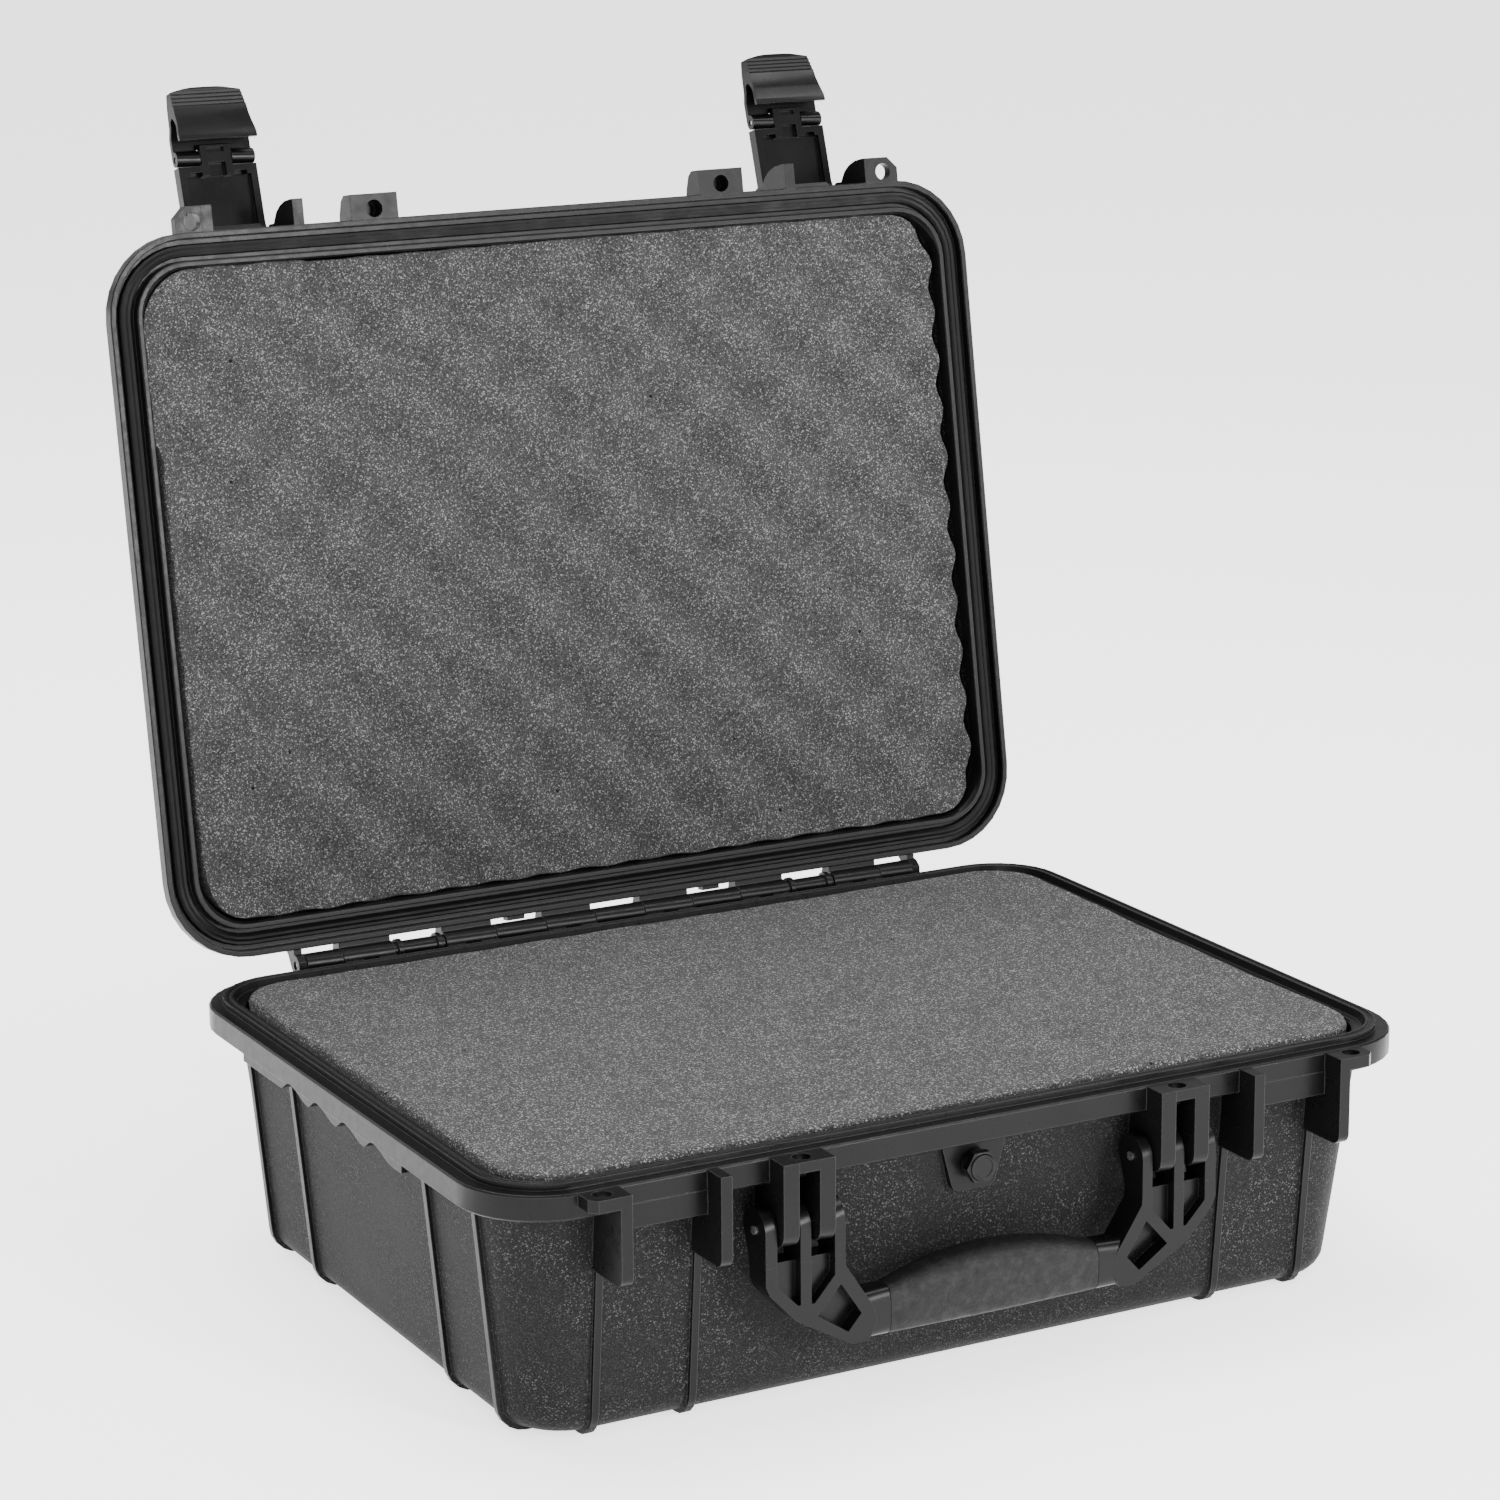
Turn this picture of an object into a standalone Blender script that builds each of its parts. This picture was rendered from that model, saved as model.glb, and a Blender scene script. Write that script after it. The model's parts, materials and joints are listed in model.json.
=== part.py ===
"""Hard equipment case, standing open.

A moulded base and lid joined by a knuckle hinge, a gasket in the lid, two
double-throw latches, a swing handle, a pressure purge valve and a set of foam.
Metres, +Z up, +X to the case's right, -Y to its front. The origin is at the
middle of the resting face under the base. Every moving piece is modelled in
the closed position under an empty on its axis, and the empties are then turned
to open the lid and the latches.
"""

import math

import bmesh
import bpy
from mathutils import Matrix, Vector

# Overall size: the rims' outline, and the plane where base and lid meet.
WIDTH = 0.470
DEPTH = 0.3473
MATING_Z = 0.122
RIM_CORNER_R = 0.040
HALF_W = WIDTH / 2
HALF_D = DEPTH / 2
GAP = 0.0003

# Walls: how far they stand in from the rims, and how they lean.
OVERHANG = 0.0130
DRAFT = math.tan(math.radians(5.5))
WALL_CORNER_R = 0.032
BAND_H = 0.0116
FLOOR_ROUND_R = 0.012
RIB_PROUD = 0.0022
RIB_W = 0.0034
RIB_ROOT = 0.0014
BASE_WALL_T = 0.0034
BASE_FLOOR_T = 0.0034
FLOOR_Z = RIB_PROUD + 0.0006
CORNER_STEPS = 8

# Resting pad under the base.
FOOT_HALF_W = 0.160
FOOT_HALF_D = 0.112

# The base's sealing tongue, by distance in from the rim and height.
TONGUE_IN = 0.0065
TONGUE_H = 0.0029

# Lid.
LID_BAND_H = 0.0078
LID_H = 0.043
LID_ROUND_R = 0.010
LID_WALL_T = 0.0034
CHANNEL_TOP = 0.0056
LID_OPEN = math.radians(99.6)

# Hinge: axis, knuckles and pin.
HINGE_Y = HALF_D + 0.00765
HINGE_Z = MATING_Z + 0.0007
KNUCKLE_R = 0.0052
KNUCKLE_PITCH = 0.0274
KNUCKLE_PAIRS = 5
HINGE_END = 0.1698
KNUCKLE_GAP = 0.0004
KNUCKLE_SLOT = 0.0086
HINGE_PIN_R = 0.0020
PIN_CLEARANCE = 0.0001
EAR_T = 0.0040

# Front hardware, by distance from the middle.
TAB_Y = HALF_D + 0.0123
HOLE_Y = HALF_D + 0.0050
HOLE_R = 0.00425
CORNER_HOLE_X = 0.1895
BRACKET_X = 0.0952
TAB_T = 0.0057
FIN_T = 0.0054
BAY_INNER_X = 0.1376
BAY_OUTER_X = 0.1790
BAY_X = (BAY_INNER_X + BAY_OUTER_X) / 2
TAB_OUTER_X = 0.1980
FIN_DROP = 0.0410
CATCH_DROP = 0.0197

# Latches: pivot on the lid, lever pivot on the arm, and how far they open.
LATCH_Y = HALF_D - 0.0037
LATCH_Z = MATING_Z + 0.029
LEVER_Y = HALF_D + 0.0049
LEVER_Z = MATING_Z - 0.0125
LATCH_OPEN = math.radians(98.5)
ARM_HALF_W = 0.0202
LEVER_HALF_W = 0.0201
LEVER_TIP_Z = LEVER_Z - 0.0355
TONGUE_HALF_W = 0.0078
TONGUE_SLOT_HALF_W = 0.0044
LATCH_PIN_R = 0.0018
LEVER_PIN_R = 0.0015
LEVER_RIDGES = 5

# Handle.
HANDLE_PIN_Y = HALF_D - 0.0017
HANDLE_PIN_Z = MATING_Z - 0.0318
HANDLE_PIN_R = 0.0020
HANDLE_FRONT_Y = HALF_D + 0.0084
HANDLE_BACK_Y = HALF_D - 0.0062
PRONG_R = 0.010
PRONGS = ((0.0757, 0.0808), (0.0924, 0.0976), (0.1089, 0.1145))
GRIP_HALF_L = 0.0530
GRIP_Z = MATING_Z - 0.0772
GRIP_Y = HALF_D + 0.0010
COLLAR_HALF_H = 0.0112
COLLAR_HALF_DEPTH = 0.0074
GRIP_ARCH = 0.0090
GRIP_BULGE = 0.0030

# Purge valve.
VALVE_Z = MATING_Z - 0.0246
VALVE_PAD_Y = HALF_D - 0.0111
VALVE_SEAT_Y = 0.1550
VALVE_STEM_R = 0.0046

# Foam.
FOAM_CLEARANCE = 0.0008
FOAM_TOP = MATING_Z + 0.0028
FOAM_PAD_TOP = 0.0177
FOAM_SPLIT = 0.0650
LID_FOAM_FACE = 0.0037

# Finger grips under the rim at the sides.
GRIP_SKIRT_DROP = 0.0145
GRIP_CREST_DROP = 0.0098
GRIP_TEETH = 4
GRIP_PITCH = 0.0308
GRIP_FIRST_LOW = 0.0546
GRIP_RISE = 0.0095

FRONT_RIBS_X = (0.1817, 0.1349)
SIDE_RIBS_Y = (0.1240, 0.0730)


# ---------------------------------------------------------------- scene tools

def clear_scene():
    for obj in list(bpy.data.objects):
        bpy.data.objects.remove(obj)


def make_material(name, colour, roughness, metallic=0.0):
    mat = bpy.data.materials.new(name)
    mat.use_nodes = True
    shader = mat.node_tree.nodes["Principled BSDF"]
    shader.inputs["Base Color"].default_value = (*colour, 1.0)
    shader.inputs["Roughness"].default_value = roughness
    shader.inputs["Metallic"].default_value = metallic
    return mat


def make_object(name, bm, mat=None):
    bmesh.ops.recalc_face_normals(bm, faces=bm.faces)
    mesh = bpy.data.meshes.new(name)
    bm.to_mesh(mesh)
    bm.free()
    obj = bpy.data.objects.new(name, mesh)
    bpy.context.scene.collection.objects.link(obj)
    if mat is not None:
        mesh.materials.append(mat)
    return obj


def make_empty(name, location, parent=None):
    """An empty at a world position; its parents are not turned yet."""
    empty = bpy.data.objects.new(name, None)
    bpy.context.scene.collection.objects.link(empty)
    empty.location = location
    if parent is not None:
        empty.parent = parent
        empty.location = Vector(location) - parent_position(parent)
    return empty


def parent_position(empty):
    position = Vector(empty.location)
    while empty.parent is not None:
        empty = empty.parent
        position += empty.location
    return position


def hang_on(empty, objects):
    """Put each object's origin on the empty and make it follow the empty."""
    position = parent_position(empty)
    for obj in objects:
        obj.data.transform(Matrix.Translation(-position))
        obj.parent = empty


def smooth(obj, angle=35.0):
    obj.data.shade_smooth()
    obj.data.set_sharp_from_angle(angle=math.radians(angle))


# -------------------------------------------------------------- solid shapes

def add_prism(bm, points, axis, low, high):
    """A closed prism: a polygon in the plane across an axis, run along it."""
    ends = []
    for distance in (low, high):
        corners = []
        for a, b in points:
            place = {"X": (distance, a, b), "Y": (a, distance, b), "Z": (a, b, distance)}
            corners.append(bm.verts.new(place[axis]))
        ends.append(corners)
    bm.faces.new(ends[0])
    bm.faces.new(ends[1])
    for i in range(len(points)):
        j = (i + 1) % len(points)
        bm.faces.new((ends[0][i], ends[0][j], ends[1][j], ends[1][i]))


def prism(name, points, axis, low, high, mat=None):
    bm = bmesh.new()
    add_prism(bm, points, axis, low, high)
    return make_object(name, bm, mat)


def circle(a, b, radius, steps=24):
    points = []
    for i in range(steps):
        angle = 2 * math.pi * i / steps
        points.append((a + radius * math.cos(angle), b + radius * math.sin(angle)))
    return points


def arc(a, b, radius, start, end, steps):
    """Points on an arc; the angles are in degrees."""
    points = []
    for i in range(steps + 1):
        angle = math.radians(start + (end - start) * i / steps)
        points.append((a + radius * math.cos(angle), b + radius * math.sin(angle)))
    return points


def box_points(a0, a1, b0, b1):
    return [(a0, b0), (a1, b0), (a1, b1), (a0, b1)]


def add_box(bm, x, y, z):
    add_prism(bm, box_points(x[0], x[1], y[0], y[1]), "Z", z[0], z[1])


def rounded_outline(half_w, half_d, radius, steps=CORNER_STEPS):
    points = []
    for quarter in range(4):
        start = 90.0 * quarter
        sx = 1 if quarter in (0, 3) else -1
        sy = 1 if quarter in (0, 1) else -1
        centre = (sx * (half_w - radius), sy * (half_d - radius))
        points += arc(centre[0], centre[1], radius, start, start + 90.0, steps)
    return points


def loft(name, rings, mat=None, loop=False):
    """Skin a row of matching rings; the ends are capped unless it loops."""
    bm = bmesh.new()
    rows = []
    for ring in rings:
        rows.append([bm.verts.new(point) for point in ring])
    count = len(rows)
    for k in range(count if loop else count - 1):
        low = rows[k]
        high = rows[(k + 1) % count]
        for i in range(len(low)):
            j = (i + 1) % len(low)
            bm.faces.new((low[i], low[j], high[j], high[i]))
    if not loop:
        bm.faces.new(rows[0])
        bm.faces.new(rows[-1])
    return make_object(name, bm, mat)


def rim_ring(inset, z, corner_r=None):
    """The rims' rounded outline, drawn in by an inset, at a height."""
    radius = max(RIM_CORNER_R - inset, 0.004) if corner_r is None else corner_r
    outline = rounded_outline(HALF_W - inset, HALF_D - inset, radius)
    return [(x, y, z) for x, y in outline]


def bake(target):
    """Replace an object's mesh by the result of its modifiers."""
    depsgraph = bpy.context.evaluated_depsgraph_get()
    mesh = bpy.data.meshes.new_from_object(target.evaluated_get(depsgraph))
    target.modifiers.clear()
    target.data = mesh


def combine(target, tools, operation="UNION"):
    """Union or cut one object with a list of tools, which are used up."""
    for tool in tools:
        modifier = target.modifiers.new(tool.name, "BOOLEAN")
        modifier.operation = operation
        modifier.solver = "EXACT"
        modifier.object = tool
        tool.hide_render = True
        tool.display_type = "WIRE"
    bake(target)
    for tool in tools:
        bpy.data.objects.remove(tool)


# -------------------------------------------------------------- shell profiles

def shell_profile(band_z, flat_z, round_r, run_in):
    """Outside of a drafted wall, as (inset, z) from its band to its flat face.

    band_z is the band's edge, flat_z the floor or the top; run_in is how far
    the last point lies in from where the rounding meets the flat face.
    """
    way = 1 if flat_z > band_z else -1
    round_z = flat_z - way * round_r
    wall_in = OVERHANG + abs(round_z - band_z) * DRAFT
    points = [(OVERHANG, band_z)]
    for inset, height in arc(0.0, 0.0, round_r, 0.0, 90.0, 5):
        points.append((wall_in + round_r - inset, round_z + way * height))
    points.append((wall_in + round_r + run_in, flat_z))
    return points


def offset_profile(points, distance):
    """Shift a profile along its normals, outwards when distance is positive."""
    shifted = []
    for i, (inset, z) in enumerate(points):
        before = points[max(i - 1, 0)]
        after = points[min(i + 1, len(points) - 1)]
        step = Vector((after[0] - before[0], after[1] - before[1])).normalized()
        way = -1 if points[-1][1] < points[0][1] else 1
        shifted.append((inset - way * step.y * distance, z + way * step.x * distance))
    return shifted


def rib_section(profile, half_size, band_overlap, proud):
    """A rib's closed section as (distance from the middle, z)."""
    way = 1 if profile[-1][1] > profile[0][1] else -1
    outer = offset_profile(profile, proud)
    inner = offset_profile(profile, -RIB_ROOT)
    outer[0] = (outer[0][0], profile[0][1] - way * band_overlap)
    inner[0] = (inner[0][0], profile[0][1] - way * band_overlap)
    ring = outer + inner[::-1]
    return [(half_size - inset, z) for inset, z in ring]


def add_ribs(bm, profile, band_overlap, proud):
    """All the ribs around a shell: four at the front and back, four a side."""
    section = rib_section(profile, HALF_D, band_overlap, proud)
    for side in (-1, 1):
        across = [(side * d, z) for d, z in section]
        for rib_x in FRONT_RIBS_X:
            for x in (-rib_x, rib_x):
                add_prism(bm, across, "X", x - RIB_W / 2, x + RIB_W / 2)
    section = rib_section(profile, HALF_W, band_overlap, proud)
    for side in (-1, 1):
        across = [(side * d, z) for d, z in section]
        for rib_y in SIDE_RIBS_Y:
            for y in (-rib_y, rib_y):
                add_prism(bm, across, "Y", y - RIB_W / 2, y + RIB_W / 2)


def bay_span(side, low_x, high_x):
    """A span of x on one side, in rising order."""
    return sorted((side * low_x, side * high_x))


# ----------------------------------------------------------------- base shell

def base_rings():
    band_z = MATING_Z - BAND_H
    profile = shell_profile(band_z, FLOOR_Z, FLOOR_ROUND_R, 0.0)
    edge = 0.0008
    rings = []
    for inset, z in profile[:0:-1]:
        shrink = inset - profile[1][0]
        rings.append(rim_ring(inset, z, WALL_CORNER_R - shrink))
    rings = rings[1:]
    rings.append(rim_ring(OVERHANG, band_z, WALL_CORNER_R))
    rings.append(rim_ring(edge, band_z))
    rings.append(rim_ring(0.0, band_z + edge))
    rings.append(rim_ring(0.0, MATING_Z - edge))
    rings.append(rim_ring(edge, MATING_Z))
    top = MATING_Z + TONGUE_H
    groove = top - 0.0007
    rings.append(rim_ring(TONGUE_IN, MATING_Z))
    rings.append(rim_ring(TONGUE_IN + 0.0001, top))
    rings.append(rim_ring(TONGUE_IN + 0.0010, top))
    rings.append(rim_ring(TONGUE_IN + 0.0014, groove))
    rings.append(rim_ring(TONGUE_IN + 0.0033, groove))
    rings.append(rim_ring(TONGUE_IN + 0.0037, top))
    rings.append(rim_ring(TONGUE_IN + 0.0046, top))
    rings.append(rim_ring(0.0129, MATING_Z - 0.0003))
    rings.append(rim_ring(0.0160, MATING_Z - 0.0006))
    rings.append(rim_ring(0.0164, MATING_Z - 0.0016, 0.0264))
    inner_r = FLOOR_ROUND_R - BASE_WALL_T
    floor_z = FLOOR_Z + BASE_FLOOR_T
    round_z = floor_z + inner_r
    wall_in = OVERHANG + (band_z - round_z) * DRAFT + BASE_WALL_T
    rings.append(rim_ring(OVERHANG + BASE_WALL_T, band_z, WALL_CORNER_R - BASE_WALL_T))
    for inset, height in arc(0.0, 0.0, inner_r, 0.0, 90.0, 4):
        corner = WALL_CORNER_R - BASE_WALL_T - (inner_r - inset)
        rings.append(rim_ring(wall_in + inner_r - inset, round_z - height, corner))
    return rings


def fin_section(drop, corner_r):
    """Side view of a front fin on the base, as (y, z)."""
    top = MATING_Z - 0.0001
    foot = MATING_Z - drop
    root_y = -(HALF_D - 0.0152)
    band_y = -(HALF_D - 0.0077)
    points = [(band_y, top), (-TAB_Y, top)]
    points += arc(-TAB_Y + corner_r, foot + corner_r, corner_r, 180.0, 270.0, 4)
    points += [(root_y, foot), (root_y, MATING_Z - BAND_H), (band_y, MATING_Z - 0.0070)]
    return points


def tab_outline(side, inner_x, outer_x, root_y, chamfer):
    points = [(side * inner_x, -root_y), (side * inner_x, -TAB_Y)]
    points += [(side * (outer_x - chamfer), -TAB_Y), (side * outer_x, -TAB_Y + chamfer)]
    points += [(side * outer_x, -root_y)]
    return points


def add_bay_fins(bm, side, section):
    """The two fins at the ends of one latch bay."""
    for near in (BAY_INNER_X - FIN_T, BAY_OUTER_X):
        low, high = bay_span(side, near, near + FIN_T)
        add_prism(bm, section, "X", low, high)


def base_tabs(side):
    top = MATING_Z - 0.0001
    root_y = HALF_D - 0.0067
    inner_x = BAY_OUTER_X + 0.0004
    outline = tab_outline(side, inner_x, TAB_OUTER_X, root_y, 0.0034)
    return prism("tab", outline, "Z", top - TAB_T, top - 0.00005)


def base_catch(side):
    low, high = bay_span(side, BAY_INNER_X - 0.001, BAY_OUTER_X + 0.001)
    front = -(HALF_D + 0.0003)
    back = -(HALF_D - 0.0062)
    section = box_points(front, back, MATING_Z - CATCH_DROP, MATING_Z - 0.009)
    return prism("catch", section, "X", low, high)


def bracket_parts(side):
    """Handle bracket: two fins under a drilled top plate."""
    fins = bmesh.new()
    section = fin_section(0.0383, 0.007)
    for near, far in ((0.0050, 0.0126), (-0.0126, -0.0050)):
        low, high = bay_span(side, BRACKET_X + near, BRACKET_X + far)
        add_prism(fins, section, "X", low, high)
    section = box_points(-(TAB_Y - 0.0001), -(HALF_D - 0.0067), MATING_Z - 0.0050, MATING_Z - 0.00015)
    plate = prism("plate", section, "X", side * BRACKET_X - 0.0124, side * BRACKET_X + 0.0124)
    return [make_object("bracket_fins", fins), plate]


def side_skirt(side):
    """Deeper stretch of the rim's band at a side, for the fingers."""
    points = box_points(-0.0775, 0.1000, MATING_Z - GRIP_SKIRT_DROP, MATING_Z - 0.0080)
    low, high = bay_span(side, HALF_W - 0.0141, HALF_W - 0.0001)
    return prism("side_skirt", points, "X", low, high)


def grip_arches(bm, side):
    """Cutters for the skirt's arches: each rises gently and drops sharply."""
    low_z = MATING_Z - GRIP_SKIRT_DROP
    height = GRIP_SKIRT_DROP - GRIP_CREST_DROP
    steps = 6
    for tooth in range(GRIP_TEETH):
        back_y = GRIP_FIRST_LOW - GRIP_PITCH * tooth
        front_y = back_y - GRIP_PITCH + 0.0006
        crest_y = back_y - GRIP_RISE
        points = [(back_y, low_z - 0.002), (front_y, low_z - 0.002), (front_y, low_z)]
        for i in range(1, steps + 1):
            ease = (1 - math.cos(math.pi * i / steps)) / 2
            points.append((front_y + (crest_y - front_y) * i / steps, low_z + height * ease))
        points.append((crest_y + GRIP_RISE * 0.35, low_z + height * 0.85))
        points.append((crest_y + GRIP_RISE * 0.70, low_z + height * 0.38))
        points.append((back_y, low_z))
        low, high = bay_span(side, HALF_W - 0.0075, HALF_W + 0.0010)
        add_prism(bm, points, "X", low, high)


def valve_pad():
    top_z = MATING_Z - 0.0105
    low_z = MATING_Z - 0.0365
    corner = 0.0035
    points = [(-0.0174, top_z)]
    points += arc(-0.0112 + corner, low_z + corner, corner, 195.0, 270.0, 3)
    points += arc(0.0112 - corner, low_z + corner, corner, 270.0, 345.0, 3)
    points += [(0.0174, top_z)]
    pad = prism("valve_pad", points, "Y", -VALVE_PAD_Y, -(HALF_D - 0.0160))
    seat = prism("valve_seat", circle(0.0, VALVE_Z, 0.0095), "Y", -(HALF_D - 0.0160), -VALVE_SEAT_Y)
    return [pad, seat]


def knuckle_spans(owner):
    """Spans of x for the base's knuckles (even steps) or the lid's (odd)."""
    spans = []
    for k in range(-KNUCKLE_PAIRS - 1, KNUCKLE_PAIRS + 2):
        is_base = k % 2 == 0
        if is_base != (owner == "base"):
            continue
        low = (k - 0.5) * KNUCKLE_PITCH
        high = (k + 0.5) * KNUCKLE_PITCH
        low = max(low, -HINGE_END)
        high = min(high, HINGE_END)
        spans.append((low + KNUCKLE_GAP / 2, high - KNUCKLE_GAP / 2))
    return spans


def knuckle_web(way):
    """Web between a rim and its barrels; way is 1 for the lid, -1 for the base."""
    rise = ((0.1716, 0.0012), (0.1716, 0.0072), (0.1780, 0.0100), (0.1845, 0.0045))
    points = [(y, MATING_Z + way * z) for y, z in rise]
    points += [(HINGE_Y, HINGE_Z), (0.1770, MATING_Z + way * 0.0012)]
    return points


def hinge_barrels(owner):
    """Barrels with webs, one list entry each, not yet drilled."""
    way = 1 if owner == "lid" else -1
    parts = []
    for low, high in knuckle_spans(owner):
        middle = (low + high) / 2
        slim = owner == "base" and abs(abs(middle) - 4 * KNUCKLE_PITCH) < 0.001
        web = prism("web", knuckle_web(way), "X", low, high)
        radius = KNUCKLE_R - 0.0010 if slim else KNUCKLE_R
        barrel = prism("barrel", circle(HINGE_Y, HINGE_Z, radius), "X", low - 0.00001, high + 0.00001)
        parts += [web, barrel]
        if slim:
            for end in (low + 0.0030, high - 0.0030):
                ring = circle(HINGE_Y, HINGE_Z, KNUCKLE_R + 0.0003)
                parts.append(prism("ring", ring, "X", end - 0.0012, end + 0.0012))
    return parts


def hinge_blocks():
    """Blocks on the base's rim facing each of the lid's barrels, split by a slot."""
    bm = bmesh.new()
    section = ((0.1716, -0.0060), (0.1716, -0.0006), (0.1739, -0.0006), (0.1739, 0.0009),
               (0.1756, 0.0009), (0.1756, -0.0060))
    points = [(y, MATING_Z + z) for y, z in section]
    for low, high in knuckle_spans("lid"):
        middle = (low + high) / 2
        add_prism(bm, points, "X", low, middle - KNUCKLE_SLOT / 2)
        add_prism(bm, points, "X", middle + KNUCKLE_SLOT / 2, high)
    return make_object("hinge_blocks", bm)


def knuckle_notches():
    """Cutters that open the lid's barrels to the pin, over each slot."""
    bm = bmesh.new()
    for low, high in knuckle_spans("lid"):
        middle = (low + high) / 2
        add_box(bm, (middle - KNUCKLE_SLOT / 2, middle + KNUCKLE_SLOT / 2),
                (HINGE_Y + 0.0021, HINGE_Y + 0.0070), (HINGE_Z - 0.0060, HINGE_Z + 0.0060))
    return make_object("knuckle_notches", bm)


def window_tabs():
    """Tabs on the lid's rim that split the windows over two of the base's barrels."""
    bm = bmesh.new()
    half_w = 0.0046
    for middle in (-2 * KNUCKLE_PITCH, 2 * KNUCKLE_PITCH):
        add_box(bm, (middle - half_w, middle + half_w), (0.1725, 0.1757), (MATING_Z + 0.0015, MATING_Z + 0.0070))
    return make_object("window_tabs", bm)


def hinge_drill():
    return prism("drill", circle(HINGE_Y, HINGE_Z, HINGE_PIN_R + PIN_CLEARANCE), "X", -0.20, 0.20)


def padlock_drills(low_z, corner_z, bracket_z):
    """Holes for padlocks in the corner tabs and the bracket tabs, up to a height."""
    bm = bmesh.new()
    for hole_x, high_z in ((CORNER_HOLE_X, corner_z), (BRACKET_X, bracket_z)):
        for x in (-hole_x, hole_x):
            add_prism(bm, circle(x, -HOLE_Y, HOLE_R), "Z", low_z, high_z)
    return make_object("padlock_drills", bm)


def base_shell(mat):
    shell = loft("base_shell", base_rings(), mat)
    ribs = bmesh.new()
    add_ribs(ribs, shell_profile(MATING_Z - BAND_H, FLOOR_Z, FLOOR_ROUND_R, 0.0100), 0.0020, RIB_PROUD)
    combine(shell, [make_object("ribs", ribs)])
    fins = bmesh.new()
    for side in (-1, 1):
        add_bay_fins(fins, side, fin_section(FIN_DROP, 0.005))
    additions = [make_object("fins", fins)]
    for side in (-1, 1):
        additions += [base_tabs(side), base_catch(side), side_skirt(side)]
        additions += bracket_parts(side)
    foot = prism("foot", rounded_outline(FOOT_HALF_W, FOOT_HALF_D, 0.012, 3), "Z", 0.0, FLOOR_Z + 0.0010)
    additions += valve_pad() + [hinge_blocks(), foot]
    additions += hinge_barrels("base")
    combine(shell, additions)
    pins = bmesh.new()
    for side in (-1, 1):
        grip_arches(pins, side)
        hole = circle(-HANDLE_PIN_Y, HANDLE_PIN_Z, HANDLE_PIN_R + PIN_CLEARANCE, 16)
        low, high = bay_span(side, BRACKET_X - 0.0145, BRACKET_X + 0.0145)
        add_prism(pins, hole, "X", low, high)
    add_prism(pins, circle(0.0, VALVE_Z, 0.0050), "Y", -0.175, -0.150)
    top_z = MATING_Z + 0.001
    cutters = [hinge_drill(), padlock_drills(MATING_Z - 0.008, top_z, top_z), make_object("bores", pins)]
    combine(shell, cutters, "DIFFERENCE")
    smooth(shell)
    return shell


# ------------------------------------------------------------------------ foam

def foam_layer(name, mat, low, high, edge=0.0025):
    """One layer of base foam, following the drafted walls with clearance."""
    band_z = MATING_Z - BAND_H

    def inset_at(z):
        wall = OVERHANG + max(band_z - z, 0.0) * DRAFT + BASE_WALL_T
        return max(wall, 0.0164) + FOAM_CLEARANCE

    corner = WALL_CORNER_R - BASE_WALL_T - FOAM_CLEARANCE
    rings = []
    if low < FOAM_PAD_TOP:
        rings.append(rim_ring(inset_at(low) + 0.0098, low, corner - 0.0098))
        rings.append(rim_ring(inset_at(low) + 0.0044, low + 0.0026, corner - 0.0044))
        rings.append(rim_ring(inset_at(low) + 0.0012, low + 0.0072, corner - 0.0012))
    else:
        rings.append(rim_ring(inset_at(low), low, corner))
    rings.append(rim_ring(inset_at(high - edge), high - edge, corner))
    rings.append(rim_ring(inset_at(high) + edge * 0.35, high - edge * 0.3, corner - edge * 0.35))
    rings.append(rim_ring(inset_at(high) + edge, high, corner - edge))
    return loft(name, rings, mat)


def base_foam(mat):
    floor_z = FLOOR_Z + BASE_FLOOR_T
    pad = foam_layer("base_foam_pad", mat, floor_z + GAP, FOAM_PAD_TOP, 0.0010)
    middle = foam_layer("base_foam_middle", mat, FOAM_PAD_TOP + GAP, FOAM_SPLIT, 0.0010)
    top = foam_layer("base_foam_top", mat, FOAM_SPLIT + GAP, FOAM_TOP, 0.0025)
    notch = bmesh.new()
    add_box(notch, (-0.012, 0.012), (-0.165, -0.1480), (VALVE_Z - 0.012, VALVE_Z + 0.012))
    combine(top, [make_object("valve_notch", notch)], "DIFFERENCE")
    return [pad, middle, top]


def lid_foam(mat):
    face = MATING_Z + LID_FOAM_FACE
    back = MATING_Z + LID_H - LID_WALL_T - GAP
    round_z = MATING_Z + LID_H - LID_ROUND_R - 0.0020
    near = OVERHANG + LID_WALL_T + 0.0004
    deep = near + (round_z - MATING_Z - LID_BAND_H) * DRAFT
    corner = WALL_CORNER_R - LID_WALL_T - 0.0004
    rings = [rim_ring(near + 0.0008, face, corner - 0.0010)]
    rings.append(rim_ring(near + 0.0003, face + 0.0010, corner))
    rings.append(rim_ring(deep, round_z, corner))
    rings.append(rim_ring(deep + 0.0030, round_z + 0.0055, corner - 0.0030))
    rings.append(rim_ring(deep + 0.0085, back, corner - 0.0085))
    return loft("lid_foam", rings, mat)


# ------------------------------------------------------------------- lid shell

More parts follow.
